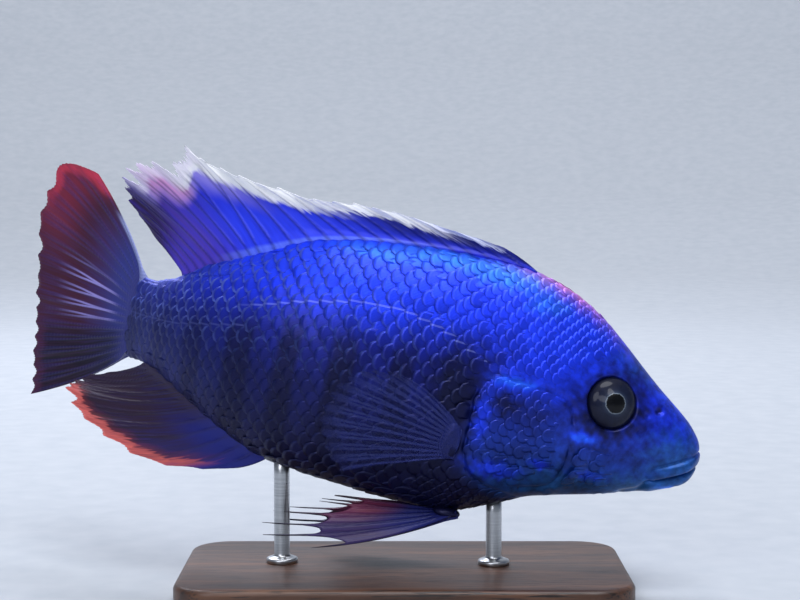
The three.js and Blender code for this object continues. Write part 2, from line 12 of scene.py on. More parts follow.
import bpy
import numpy as np
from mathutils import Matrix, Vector


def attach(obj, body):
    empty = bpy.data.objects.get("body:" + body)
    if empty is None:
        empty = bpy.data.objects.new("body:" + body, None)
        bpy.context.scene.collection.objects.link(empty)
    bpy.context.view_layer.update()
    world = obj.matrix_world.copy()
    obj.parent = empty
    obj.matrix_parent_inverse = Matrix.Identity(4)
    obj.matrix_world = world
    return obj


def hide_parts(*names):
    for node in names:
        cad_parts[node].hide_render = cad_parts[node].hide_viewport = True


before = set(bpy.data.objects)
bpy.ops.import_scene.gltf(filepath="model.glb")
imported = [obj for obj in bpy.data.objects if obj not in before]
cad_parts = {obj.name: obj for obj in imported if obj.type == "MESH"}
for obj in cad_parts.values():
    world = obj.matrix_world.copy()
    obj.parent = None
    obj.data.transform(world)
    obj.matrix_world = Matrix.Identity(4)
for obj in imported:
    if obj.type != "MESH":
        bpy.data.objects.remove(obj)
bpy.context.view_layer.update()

MM = 0.001  # one millimetre in Blender's metres
print("parts in the frame:", len(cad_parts))

# %% [markdown]
# The camera
# It looks straight at the right flank from 35 cm away and 4 degrees above, with a long lens. It comes
# first, because every later choice of detail depends on how large a millimetre is in the picture.

# %% Camera
SNOUT = Vector((56.0, 0.0, 27.0))  # the tip of the snout, millimetres
CAMERA_DISTANCE = 350.0
CAMERA_RISE = math.radians(4)
PIXEL_SIZE = 0.188  # millimetres of fish for each pixel
PICTURE_WIDTH = 800
SNOUT_PIXEL = (302, 150)  # how far right of and below the picture's centre the snout lies
SENSOR_WIDTH = 36.0


def new_object(name, data):
    """An object in the scene, from a mesh, a camera or a lamp."""
    made = bpy.data.objects.new(name, data)
    bpy.context.scene.collection.objects.link(made)
    return made


camera = new_object("camera", bpy.data.cameras.new("camera"))
camera.data.sensor_width = SENSOR_WIDTH
camera.data.lens = SENSOR_WIDTH * CAMERA_DISTANCE / (PIXEL_SIZE * PICTURE_WIDTH)
camera.data.clip_start = 0.01
aim = SNOUT + PIXEL_SIZE * Vector((-SNOUT_PIXEL[0], 0, SNOUT_PIXEL[1] / math.cos(CAMERA_RISE)))
away = Vector((0, -math.cos(CAMERA_RISE), math.sin(CAMERA_RISE)))
camera.location = (aim + CAMERA_DISTANCE * away) * MM
camera.rotation_euler = (math.pi / 2 - CAMERA_RISE, 0, 0)
bpy.context.scene.camera = camera
bpy.context.scene.view_settings.view_transform = "Standard"
print("lens:", round(camera.data.lens, 1), "mm, at", [round(c, 3) for c in camera.location])

# %% [markdown]
# The body's outline
# A fish's body is a smooth tube whose height, belly and width change along its length. A few pairs of
# numbers (share of the length, share of the size) describe each outline. A cubic joins neighbours, and
# its slope at each pair is that of the line from the pair before to the pair after, so it never kinks.

# %% Outline curves
STANDARD_LENGTH = 119.0  # snout to the root of the tail fin
BODY_DEPTH = 48.5
HALF_WIDTH = 11.2


def cubic(t, start, end, slope_start, slope_end):
    """A smooth way from start to end as t runs from 0 to 1, with a slope at each."""
    rise = 3 * t**2 - 2 * t**3
    return start * (1 - rise) + end * rise + slope_start * t * (1 - t) ** 2 + slope_end * t**2 * (t - 1)


def smooth_curve(size, pairs):
    """A smooth curve along the body through (share of the length, share of the size) pairs."""
    at, value = np.array(pairs).T * [[STANDARD_LENGTH], [size]]
    before = np.maximum(np.arange(len(at)) - 1, 0)
    after = np.minimum(np.arange(len(at)) + 1, len(at) - 1)
    slope = (value[after] - value[before]) / (at[after] - at[before])

    def curve(s):
        d = np.clip(s, at[0], at[-1])
        i = np.clip(np.searchsorted(at, d) - 1, 0, len(at) - 2)
        span = at[i + 1] - at[i]
        return cubic((d - at[i]) / span, value[i], value[i + 1], slope[i] * span, slope[i + 1] * span)

    return curve


back = smooth_curve(BODY_DEPTH, [
    (0, -0.015), (0.004, 0.018), (0.012, 0.05), (0.03, 0.098), (0.088, 0.207), (0.2, 0.427), (0.282, 0.52),
    (0.38, 0.552), (0.508, 0.541), (0.605, 0.511), (0.672, 0.468), (0.756, 0.375), (0.84, 0.283),
    (0.903, 0.205), (0.95, 0.166), (1, 0.158)])
belly = smooth_curve(BODY_DEPTH, [
    (0, -0.06), (0.004, -0.092), (0.012, -0.125), (0.025, -0.155), (0.065, -0.196), (0.142, -0.252),
    (0.25, -0.318), (0.3, -0.37), (0.37, -0.435), (0.45, -0.44), (0.53, -0.428), (0.62, -0.412),
    (0.69, -0.385), (0.76, -0.325), (0.84, -0.245), (0.903, -0.192), (0.95, -0.172), (1, -0.176)])
half_width = smooth_curve(HALF_WIDTH, [
    (0, 0.03), (0.004, 0.16), (0.012, 0.27), (0.03, 0.4), (0.08, 0.57), (0.16, 0.765), (0.25, 0.91),
    (0.35, 0.985), (0.46, 0.97), (0.59, 0.865), (0.71, 0.67), (0.84, 0.42), (0.92, 0.27), (1, 0.16)])
gill_flare = smooth_curve(1, [(0, 0), (0.2, 0), (0.3, 0.45), (0.36, 0.75), (0.45, 0.8)])
widest_share = smooth_curve(1, [(0, 0.5), (0.1, 0.46), (0.25, 0.4), (0.45, 0.45), (0.8, 0.5), (1, 0.5)])
ridge_power = smooth_curve(1, [(0, 0.9), (0.06, 1), (0.2, 1.15), (0.45, 1.2), (0.8, 1.1), (1, 1)])
keel_power = smooth_curve(1, [(0, 0.9), (0.1, 0.95), (0.3, 0.9), (0.5, 0.8), (0.7, 0.95), (1, 1)])
stations = np.arange(STANDARD_LENGTH)
print("deepest:", round(float(np.max(back(stations) - belly(stations))), 1), "mm")

# %% [markdown]
# The pose
# The midline runs straight to the middle of the body and then turns ever more sharply, as in a fish
# that is turning. A straight point is carried to its place on the bent midline, tipped nose down, and
# moved over the stand. Every piece of the fish goes through these two functions.

# %% From the straight fish to its pose
NOSE_DOWN = math.radians(12.2)
TURN_STARTS = 55.0
TURN_AT_TAIL = math.radians(54)
TURN_GROWTH = 1.4
TAIL_FIN_LENGTH = 31.5
TAIL_FIN_LAG = math.radians(30)
MIDLINE_STEP = 0.5


def turn_at(s):
    """How far the body has turned at a distance from the snout."""
    share = np.maximum(0, (np.minimum(s, STANDARD_LENGTH) - TURN_STARTS) / (STANDARD_LENGTH - TURN_STARTS))
    past = np.clip((s - STANDARD_LENGTH) / TAIL_FIN_LENGTH, 0, 1)
    return TURN_AT_TAIL * share**TURN_GROWTH - TAIL_FIN_LAG * past


steps = np.arange(0, STANDARD_LENGTH + 1.4 * TAIL_FIN_LENGTH, MIDLINE_STEP)
headings = turn_at(steps + MIDLINE_STEP / 2)
midline_s = np.append(steps, steps[-1] + MIDLINE_STEP)
midline_x = np.append(0, np.cumsum(-np.cos(headings))) * MIDLINE_STEP
midline_y = np.append(0, np.cumsum(np.sin(headings))) * MIDLINE_STEP


def bent(s, y, z):
    """A point s behind the snout, y to the fish's left and z up, on the bent midline, in millimetres."""
    turn = turn_at(s)
    x = np.interp(s, midline_s, midline_x) - np.minimum(s, 0) + y * np.sin(turn)
    return np.stack([x, np.interp(s, midline_s, midline_y) + y * np.cos(turn), z + 0 * s], -1)


def tipped(points):
    """Turned nose down and set over the stand, from fish millimetres to Blender metres."""
    x, y, z = np.moveaxis(points, -1, 0)
    cos, sin = math.cos(NOSE_DOWN), math.sin(NOSE_DOWN)
    return np.stack([x * cos + z * sin, y, z * cos - x * sin], -1) * MM + np.array(SNOUT) * MM


print("root of the tail fin:", tipped(bent(STANDARD_LENGTH, 0, 0)).round(4))

# %% [markdown]
# Meshes from arrays
# Blender can be given a whole mesh at once: a list of points, a list of faces and any number of named
# values for each point, which materials can read back. A closed mesh whose volume comes out negative
# is inside out, so its faces are turned round before use.

# %% Mesh makers


def turns(count):
    """Angles that go once round in equal steps."""
    return 2 * np.pi * np.arange(count) / count


def grid_faces(rows, columns, closed=False):
    """Quads over a grid of points numbered row by row. closed joins the last column to the first."""
    r, c = np.meshgrid(np.arange(rows - 1), np.arange(columns if closed else columns - 1), indexing="ij")
    a = (r * columns + c).ravel()
    b = (r * columns + (c + 1) % columns).ravel()
    return np.stack([a, b, b + columns, a + columns], 1)


def tube_faces(rows, sides):
    """Faces of a tube of closed rings, with a fan to one more point at its start and one at its end."""
    n, ring = rows * sides, np.arange(sides)
    ahead = (ring + 1) % sides
    start = np.stack([np.full(sides, n), ahead, ring], 1)
    end = np.stack([np.full(sides, n + 1), n - sides + ring, n - sides + ahead], 1)
    return [grid_faces(rows, sides, closed=True), start, end]


def volume_of(points, faces):
    """Six times the volume inside closed faces, positive where they point outwards."""
    corners = [(points[face], k) for face in faces for k in range(1, face.shape[1] - 1)]
    return sum(np.einsum("ij,ij->", p[:, 0], np.cross(p[:, k], p[:, k + 1])) for p, k in corners)


def store(mesh, marks):
    """Stores named values, numbers or vectors, on a mesh's points."""
    for name, values in marks.items():
        kind, field = ("FLOAT_VECTOR", "vector") if np.ndim(values) == 2 else ("FLOAT", "value")
        layer = mesh.attributes.new(name, kind, "POINT")
        layer.data.foreach_set(field, np.ravel(values).astype(np.float32))


def make_piece(name, points, faces, marks=None, solid=True):
    """A smooth mesh object. faces is a list of arrays, one for each number of corners, and marks are
    named values for the points. A solid piece is turned the right side out."""
    if solid and volume_of(points, faces) < 0:
        faces = [face[:, ::-1] for face in faces]
    mesh = bpy.data.meshes.new(name)
    mesh.from_pydata(points.tolist(), [], [corners for face in faces for corners in face.tolist()])
    store(mesh, marks or {})
    mesh.shade_smooth()
    print(f"{name}: {len(points)} points, {sum(len(f) * (f.shape[1] - 2) for f in faces)} triangles")
    return new_object(name, mesh)


def dress(piece, slot, finish, *replaced):
    """Gives a piece its finish, hangs it on the root body and hides the solids that it stands for.
    slot is not used.
    """
    if finish:
        piece.data.materials.append(finish)
    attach(piece, "root")
    if replaced:
        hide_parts(*replaced)


print("a closed tube of 2 rings of 3 points has", sum(map(len, tube_faces(2, 3))), "faces")

# %% [markdown]
# The lines of the head
# The head's relief follows a few lines drawn on its side: the mouth, the free edge of the gill cover,
# the front edge of that cover, and the ridge on the cheek. Points near a line are raised or sunk by
# how far they lie from it. This gives crisp lips and plates on one unbroken skin.

# %% Lines and distances on the side of the head
MOUTH_FRONT, MOUTH_CORNER = (0, -3), (9.2, -7.7)
GILL_EDGE = [
    (27, -30), (27, -19), (29.5, -16.2), (33.5, -15), (38.6, -13.8), (42.6, -11.6), (43.9, -8), (43.7, -3),
    (43.6, 1.5), (42.4, 4.8), (39.5, 7.4), (35.5, 13), (31, 24), (30.5, 40)]
COVER_FRONT = [
    (38.5, 6.4), (34, 6.4), (29.5, 5.4), (26.4, 3.8), (25.4, -2), (25.6, -8), (27.6, -12), (32.5, -13.4)]
COVER_SEAM = [(26.2, -8.6), (30, -8.6), (35, -9.2), (39.5, -9.0), (43.2, -7.6)]
CHEEK_RIDGE = [(23.6, 4.5), (22.4, -1), (22.3, -6), (23.8, -10), (27.5, -13.2)]
JAW_FOLD = [(9.0, -7.5), (10.6, -9.6), (13.5, -10.8)]
LINE_STEPS = 6


def ramp(x, start, end):
    """0 before start, 1 after end, with a soft rise between."""
    t = np.clip((x - start) / (end - start), 0, 1)
    return t * t * (3 - 2 * t)


def bump(x):
    """1 at nought, falling away softly on both sides."""
    return np.exp(-(x**2))


def roll(x):
    """The height of a round roll over its own half width."""
    return np.clip(1 - x**2, 0, 1) ** 0.7


def mouth_height(s):
    """How high the mouth line lies at a distance from the snout."""
    (_, front), (reach, corner) = MOUTH_FRONT, MOUTH_CORNER
    return front + (corner - front) * (np.maximum(s, 0) / reach) ** 0.8


def rounded(corners):
    """A smooth line through corners, as a list of points."""
    p = np.array([corners[0], *corners, corners[-1]], dtype=float)
    line = [corners[0]]
    for i in range(1, len(p) - 2):
        for t in np.arange(1, LINE_STEPS + 1) / LINE_STEPS:
            line.append(tuple(cubic(t, p[i], p[i + 1], (p[i + 1] - p[i - 1]) / 2, (p[i + 2] - p[i]) / 2)))
    return line


def distance_to(line, s, z):
    """How far each point on the side of the head lies from a line."""
    best = np.full(np.shape(s), np.inf)
    for (s0, z0), (s1, z1) in zip(line, line[1:]):
        ds, dz = s1 - s0, z1 - z0
        t = np.clip(((s - s0) * ds + (z - z0) * dz) / (ds * ds + dz * dz), 0, 1)
        best = np.minimum(best, np.hypot(s - s0 - t * ds, z - z0 - t * dz))
    return best


def inside(outline, s, z):
    """Which points lie inside a closed outline."""
    found = np.zeros(np.shape(s), dtype=bool)
    for (s0, z0), (s1, z1) in zip(outline, outline[1:] + outline[:1]):
        level = (z0 > z) != (z1 > z)
        found ^= level & (s < s0 + (s1 - s0) * (z - z0) / ((z1 - z0) or 1))
    return found


gill_line, cover_line, seam_line, cheek_line = map(rounded, (GILL_EDGE, COVER_FRONT, COVER_SEAM, CHEEK_RIDGE))
print("points on the edge of the gill cover:", len(gill_line))


def behind_gills(s, z):
    """Distance behind the free edge of the gill cover, negative ahead of it."""
    ahead = inside(gill_line + [(-9, 40), (-9, -30)], s, z)
    return distance_to(gill_line, s, z) * np.where(ahead, -1, 1)


# %% [markdown]
# The eye's place
# Both eyes sit on the slope of the cheek and look out, a little forward and a little up. The socket in
# the skin and the eyeball itself are made from the same centre and the same direction, so they fit.

# %% Eye centre and direction
EYE = {"s": 19.6, "z": 5.5, "radius": 5.1, "sunk": 1.9, "depth": 3.3, "forward": 0.2, "upward": 0.16}


def widest(s):
    """The height at which the body is widest."""
    return belly(s) + widest_share(s) * (back(s) - belly(s))


def section(s, upper):
    """How far the upper or lower half of a section reaches, and how round it is."""
    reach = np.where(upper, back(s) - widest(s), widest(s) - belly(s))
    return reach, np.where(upper, ridge_power(s), keel_power(s))


def skin_y(s, z):
    """Half the body's width at a height."""
    reach, power = section(s, z > widest(s))
    return half_width(s) * np.sqrt(1 - np.clip((z - widest(s)) / reach, -1, 1) ** 2) ** power


def eye_frame(side):
    """The eye's centre, and the direction that it looks in."""
    centre = np.array([-EYE["s"], side * (skin_y(EYE["s"], EYE["z"]) - EYE["sunk"]), EYE["z"]])
    level = math.cos(EYE["upward"])
    ahead, out = math.sin(EYE["forward"]) * level, math.cos(EYE["forward"]) * level
    return centre, np.array([ahead, side * out, math.sin(EYE["upward"])])


print("right eye:", [part.round(2) for part in eye_frame(-1)])

# %% [markdown]
# Relief of the head
# The relief is one height above the plain skin for every point. Lips are two rolls along the mouth
# line with a groove between. The socket rises to a soft rim and then drops behind the eyeball. The
# gill cover ends in a free edge with a slot behind it. Small round pits on the cheek, round the eye
# and along the jaw are this fish's sense pores, which are larger than in most fish.

# %% Relief
NOSTRIL = (10.0, 5.8)
PORE_RADIUS, PORE_DEPTH, PORE_RIM = 0.55, 0.3, 0.07
# The socket: distance from the eye's axis, height over the plain skin
SOCKET = [
    (0, -3.2), (4.2, -3.0), (4.6, -1.3), (4.8, -0.5), (5.0, -0.05), (5.3, 0.14), (5.7, 0.18), (6.4, 0.1),
    (7.4, 0)]
# Beside the mouth line: distance over it, half width, height. Lips are rolls, the rest soft grooves
LIPS = [(1.2, 1.25, 0.85), (-1.15, 1.2, 0.8)]
LIP_GROOVES = [(0, 0.24, -0.75), (2.75, 0.35, -0.22)]
# Folds and ridges: the line, height at its middle, half width, distance beside the line
FOLDS = [
    (cheek_line, 0.3, 1.1, 0), (cover_line, -0.24, 0.35, 0), (cover_line, 0.1, 0.6, 0.9),
    (seam_line, -0.2, 0.3, 0), (JAW_FOLD, -0.3, 0.5, 0)]
JAW_PORES = [(3.6, -8.0), (7.4, -10.4), (11.8, -11.9), (17, -12.8)]
below_eye = np.radians([5, 32, 60, 88, 116, 146])
pores = [(EYE["s"] - 7.6 * math.cos(a), EYE["z"] - 7.4 * math.sin(a)) for a in below_eye]
pores += cheek_line[3:24:5] + JAW_PORES


def relief(s, y, z):
    """Height of the head's features above the plain skin, in millimetres."""
    thick = (1 - 0.45 * np.clip(s / MOUTH_CORNER[0], 0, 1) ** 2) * (0.25 + 0.75 * ramp(s, 0.2, 2.6))
    over = z - mouth_height(s)
    rise = thick * sum(high * roll((over - off) / wide) for off, wide, high in LIPS)
    rise += sum(high * bump((over - off) / wide) for off, wide, high in LIP_GROOVES)
    rise *= 1 - ramp(s, MOUTH_CORNER[0] - 1, MOUTH_CORNER[0] + 1)
    for side in (1, -1):
        centre, look = eye_frame(side)
        away = np.stack([-s, y, z], -1) - centre
        off_axis = np.sqrt(np.maximum((away**2).sum(-1) - (away @ look) ** 2, 0))
        rise += np.where(y * side > 0, np.interp(off_axis, *np.array(SOCKET).T), 0)
    off = np.hypot((s - NOSTRIL[0]) / 1.2, z - NOSTRIL[1])
    rise += 0.1 * bump((off - 1.15) / 0.4) - 0.6 * bump(off / 0.6)
    for pore_s, pore_z in pores:
        off = np.hypot(s - pore_s, z - pore_z)
        rise += PORE_RIM * bump((off - 2 * PORE_RADIUS) / 0.4) - PORE_DEPTH * bump(off / PORE_RADIUS)
    for line, high, wide, beside in FOLDS:
        rise += high * bump((distance_to(line, s, z) - beside) / wide)
    return rise + 0.35 * bump((s - 24) / 6) * bump((z + 5) / 5)


GILL_TOP = 5.5  # the height at which the gill cover's free edge ends
SLOT_DEPTH = 0.35


def flare_share(s, z):
    """How much of the gill cover's flare a point has: all ahead of the free edge, none behind it.
    Above the gill cover there is no free edge, so there the flare fades out slowly."""
    behind = behind_gills(s, z)
    fade = 0.3 + 9 * ramp(z, GILL_TOP, 12)
    slot = SLOT_DEPTH * bump((behind - 0.45) / 0.4) * (1 - ramp(z, GILL_TOP, 8)) * ramp(z, -22, -14)
    return 1 - ramp(behind, -fade * ramp(z, 5, 9), fade) - slot


# %% [markdown]
# The skin
# One closed tube of rings, from the snout to the root of the tail fin, replaces every fleshy part of
# the frame, so no seam shows. Rings lie close together on the head, where the relief is fine, and
# further apart behind. The relief moves each point out along the skin's own normal, which comes from
# the differences between neighbouring points.

# %% Skin rings
SIDES = 256
NOSE_END, HEAD_END = 3.0, 47.0
NOSE_RINGS, HEAD_RINGS, BODY_RINGS = 40, 200, 112
ring_s = np.concatenate([
    0.02 + NOSE_END * (np.arange(NOSE_RINGS) / NOSE_RINGS) ** 1.5,
    np.linspace(0.02 + NOSE_END, HEAD_END, HEAD_RINGS, endpoint=False),
    np.linspace(HEAD_END, STANDARD_LENGTH, BODY_RINGS)])
rings = len(ring_s)


def plain_skin(s, angle):
    """The skin with the gill covers' flare but no fine relief, as s, y and z."""
    s, angle = np.broadcast_arrays(s, angle)
    up, out = np.cos(angle), np.sin(angle)
    reach, power = section(s, up > 0)
    z = widest(s) + up * reach
    width = half_width(s) + gill_flare(s) * flare_share(s, z)
    return np.stack([s, np.sign(out) * width * np.abs(out) ** power, z], -1)


def normals_of(grid):
    """Outward normals over rings of points that close on themselves."""
    across = np.roll(grid, -1, axis=1) - np.roll(grid, 1, axis=1)
    normal = np.cross(across, np.gradient(grid, axis=0))
    normal /= np.maximum(np.linalg.norm(normal, axis=-1, keepdims=True), 1e-9)
    return normal * np.sign((normal * (grid - grid.mean(1, keepdims=True))).sum())


straight = plain_skin(ring_s[:, None], turns(SIDES)[None, :])
height = relief(*np.moveaxis(straight, -1, 0)) * (ring_s[:, None] < HEAD_END + 1)
straight = straight + normals_of(straight) * height[..., None]
posed_skin = tipped(bent(*np.moveaxis(straight, -1, 0)))
print("relief from", round(float(height.min()), 2), "to", round(float(height.max()), 2), "mm")

# %% [markdown]
# Markings and painted light
# The colours of a real peacock cichlid follow its body: brightest on the nape and along the back, dark
# below, with dusky bars on the flank and teal lips. The bright nape and back and the dark belly are
# partly painted light and shade from above, and the dark patches in the nostril and in the groove
# between cheek and gill cover are painted shade. All of these are stored as a few values at each point,
# worked out from soft patches of real size. Skin and scales call the same function, so both carry the
# same markings and painted shade, and the scales don't look pasted on.

# %% Markings and painted light and shade on skin and scales
# Each patch: distance from the snout, height, half length, half height, strength
PATCHES = {
    "dark": [
        (19.6, 5.4, 7.6, 7.2, 1.0), (19.6, 5.4, 6.2, 6.0, 1.0),  # round the eye
        # painted shade: the nostril's pit is darkened
        (10.0, 5.8, 0.8, 0.7, 0.9),  # nostril
        (38.6, 2.0, 2.6, 3.0, 0.95), (33.5, 0.5, 4.0, 4.5, 0.6), (35.5, -6.5, 4.5, 2.4, 0.4),  # gill cover
        (47.5, 3.0, 5.5, 8.5, 0.9),  # behind the gill cover
        # belly: partly its own dark colour, partly painted shade under the body
        (52, -13, 13, 9, 0.8),  # belly behind the breast
        # painted shade in the groove along the gill cover's front edge
        (25.0, -5.5, 1.4, 4.0, 0.45),  # groove between cheek and gill cover
        (14.5, -4.0, 3.0, 1.5, 0.35)],
    "bright": [
        # nape: partly its own bright blue, partly painted light from above
        (31, 15, 11, 9, 0.8),  # nape
        (37.8, 5.8, 4.2, 1.3, 1.0), (42.6, -1.5, 1.2, 4.5, 0.8),  # upper and free edge of the gill cover
        (29.5, 4.6, 2.6, 0.8, 0.6), (38.4, -10.6, 5.0, 1.6, 0.75), (30.2, -8.0, 1.6, 0.9, 0.9),
        (23.6, -1.4, 2.8, 1.0, 1.0), (20.5, -8.4, 3.4, 0.9, 0.5),  # cheek
        # back: partly its own bright blue, partly painted light from above
        (66, 17, 24, 6.5, 0.75)],  # back
    "azure": [
        (42, 24.6, 9, 1.9, 1.0), (54, 25.4, 9, 1.3, 0.85), (67, 23.6, 8, 1.2, 0.6),  # root of the dorsal fin
        (34.5, 21.0, 4, 2.0, 0.5), (37.8, 6.0, 3.6, 0.8, 0.5), (23.4, -1.6, 2.4, 0.7, 0.4),
        (3.4, -8.4, 3.8, 0.7, 0.9)],  # lower lip
    "teal": [
        (3.5, -2.5, 8.0, 6.0, 0.75), (9, -9.6, 8.0, 2.4, 0.8),  # snout, lips and lower jaw
        (24, -12.5, 12.0, 4.0, 0.7), (13, 13.0, 8.0, 2.6, 0.5)]}  # lower edge of the head, brow
BLAZE = {"middle": 31.0, "half_length": 6.5, "half_width": 2.5}  # pink streak on the ridge of the nape
GRAIN = 1.1  # millimetres by which the patches' edges waver


def patch_sum(patches, s, z):
    """How strongly a set of soft patches covers each point. Small patches waver less."""
    waver_s = GRAIN * (np.sin(1.9 * z + 0.8 * s) + 0.6 * np.sin(3.7 * z - 2.6 * s))
    waver_z = 0.7 * GRAIN * (np.sin(2.3 * s - 0.9 * z) + 0.6 * np.sin(4.4 * s + 1.7 * z))
    clear = np.ones(np.shape(s))
    for centre_s, centre_z, long, high, strength in patches:
        own = min(1.0, min(long, high) / 3)
        away = ((s + own * waver_s - centre_s) / long) ** 2 + ((z + own * waver_z - centre_z) / high) ** 2
        clear = clear * (1 - strength * np.exp(-(away**1.4)))
    return 1 - clear


def markings(s, y, z):
    """The named values that the skin's and the scales' materials read."""
    off_ridge = np.abs(y) + 0.4 * np.sin(1.7 * s) + 0.3 * np.sin(4.1 * s)
    blaze = bump((s - BLAZE["middle"]) / BLAZE["half_length"]) ** 0.6 * bump(off_ridge / BLAZE["half_width"])
    return {
        "along": s,
        "height": np.clip((z - belly(s)) / (back(s) - belly(s)), 0, 1),
        "head": 1 - ramp(behind_gills(s, z), -1.0, 3.0) * ramp(s, 26, 34),
        "blaze": blaze * ramp(z, back(s) - 4.5, back(s) - 2),
        **{name: patch_sum(patches, s, z) for name, patches in PATCHES.items()}}


print("patches:", {name: len(patches) for name, patches in PATCHES.items()})

# %% [markdown]
# Closing the skin
# The tube's two ends get one middle point each, which makes it a sound solid. Each of these points
# takes over the markings of the end that it closes.

# %% Skin mesh
skin_points = np.vstack([posed_skin.reshape(-1, 3), posed_skin[0].mean(0), posed_skin[-1].mean(0)])
skin_marks = markings(*straight.reshape(-1, 3).T)
skin_marks = {name: np.append(values, [values[0], values[-1]]) for name, values in skin_marks.items()}
skin = make_piece("body_skin", skin_points, tube_faces(rings, SIDES), skin_marks)

# %% [markdown]
# Building materials from nodes
# A material is a small graph: textures and values feed a shader. Typing the colours as they look on a
# screen is easiest, so one function turns those into the linear values that Blender mixes. One more
# function adds a node, sets it and links it, and that is all that every material below needs.

# %% Colours and nodes
SMOOTH = {"interpolation_type": "SMOOTHSTEP"}  # a soft step from one value to the next


def colour(code):
    """A colour written as on a screen, in Blender's linear values."""
    channels = [int(code[i:i + 2], 16) / 255 for i in (1, 3, 5)]
    return tuple(c / 12.92 if c <= 0.04045 else ((c + 0.055) / 1.055) ** 2.4 for c in channels) + (1.0,)


def add_node(tree, kind, inputs=(), out=0, stops=None, **settings):
    """Adds a node and returns one of its outputs, or all where out is None. inputs are values or the
    sockets that feed the node, in its own order or by name. stops are a colour ramp's places and colours."""
    made = tree.nodes.new(kind if "Node" in kind else "ShaderNode" + kind)
    for name, value in settings.items():
        setattr(made, name, value)
    for socket, value in inputs.items() if isinstance(inputs, dict) else enumerate(inputs):
        if isinstance(value, bpy.types.NodeSocket):
            tree.links.new(value, made.inputs[socket])
        else:
            made.inputs[socket].default_value = value
    if stops:
        marks = made.color_ramp.elements
        marks[0].position, marks[1].position = stops[0][0], stops[-1][0]
        for at, _ in stops[1:-1]:
            marks.new(at)
        for stop, (_, code) in zip(marks, stops):
            stop.color = colour(code)
    return made.outputs if out is None else made.outputs[out]


def layered(node, paint, layers):
    """Mixes colours over a ground. A layer is a colour and shares, whose product is how far it covers."""
    for code, cover, *shares in layers:
        for share in shares:
            cover = node("Math", (cover, share), operation="MULTIPLY")
        paint = node("Mix", {0: cover, 6: paint, 7: colour(code)}, out=2, data_type="RGBA")
    return paint


def finish_of(name, recipe, *details, **options):
    """A new material. Its recipe adds nodes to the tree and returns what goes into the shader."""
    material = bpy.data.materials.new(name)
    material.use_nodes = True
    tree = material.node_tree
    tree.nodes.clear()
    node = functools.partial(add_node, tree)
    shader = node("BsdfPrincipled", recipe(node, *details, **options))
    node("OutputMaterial", (shader,), out=None)
    print("finish:", name, "with", len(tree.nodes), "nodes")
    return material


print("mid grey on a screen is", round(colour("#808080")[0], 3), "in linear values")

# %% [markdown]
# Living colour
# The blue isn't a pigment. Stacks of tiny crystal plates in the skin reflect only blue light, which is
# why it has a metallic depth. Here a partly metallic shader stands in for the plates, and a thin clear
# coat for the slime that makes a fish wet. A ramp from belly to back gives the main colour. Its dark
# belly and bright back are partly the fish's own colour and partly painted shade and painted light, as
# from a lamp above. The stored markings and painted shade are mixed over it.

# %% Body colours, shared by skin and scales
BAR_SPACING = 9.7  # millimetres from one dusky bar to the next
FIRST_BAR = 51.5
BAR_WANDER = 5.0  # millimetres that a cloudy pattern shifts the bars
# From belly to back: partly the fish's own colour, partly painted shade on the belly and painted light on the
# back, as from a lamp above
TRUNK_RAMP = [
    (0.0, "#1a1a40"), (0.2, "#14184c"), (0.4, "#131a60"), (0.58, "#131e80"), (0.7, "#1628b0"),
    (0.8, "#1a34e8"), (0.9, "#1e40ff"), (1.0, "#224cff")]
HEAD_RAMP = [
    (0.0, "#1c4e92"), (0.2, "#1b3f9e"), (0.45, "#1b36b8"), (0.65, "#1a34dc"), (0.85, "#1e3cf4"),
    (1.0, "#264eea")]


def fish_colour(node):
    """Nodes for the body's colour, from the markings and painted light and shade stored on the piece."""
    along, height, head, blaze, dark, bright, azure, teal = (
        node("Attribute", out="Fac", attribute_name=name)
        for name in ("along", "height", "head", "blaze", "dark", "bright", "azure", "teal"))
    place = node("CombineXYZ", (along, height))
    cloud = node("TexNoise", {"Vector": place, "Scale": 0.22, "Detail": 3.0})  # 4.5 mm wide
    shifted = node("Math", (cloud, BAR_WANDER, along), operation="MULTIPLY_ADD")
    turn = node("MapRange", (shifted, FIRST_BAR, FIRST_BAR + BAR_SPACING, 0, 2 * math.pi), clamp=False)
    wave = node("Math", (turn,), operation="COSINE")
    bars, low, behind, ahead, rear = (node("MapRange", values, **SMOOTH) for values in (
        (wave, -0.3, 0.7), (height, 0.76, 0.5), (along, 43, 50, 0, 0.8), (along, 108, 78, 0.4),
        (along, 82, 116, 0, 0.85)))
    trunk = node("ValToRGB", (height,), stops=TRUNK_RAMP)
    front = node("ValToRGB", (height,), stops=HEAD_RAMP)
    return layered(node, node("Mix", {0: head, 6: trunk, 7: front}, out=2, data_type="RGBA"), [
        # The dark layer holds painted shade in the nostril, the cheek groove and partly on the belly; the
        # bright layer is partly painted light on the nape and back
        ("#2a3480", rear), ("#0b0e36", bars, low, behind, ahead), ("#20568c", teal), ("#0c113a", dark),
        ("#1e42ff", bright), ("#2f7cff", azure), ("#f093e6", blaze)])


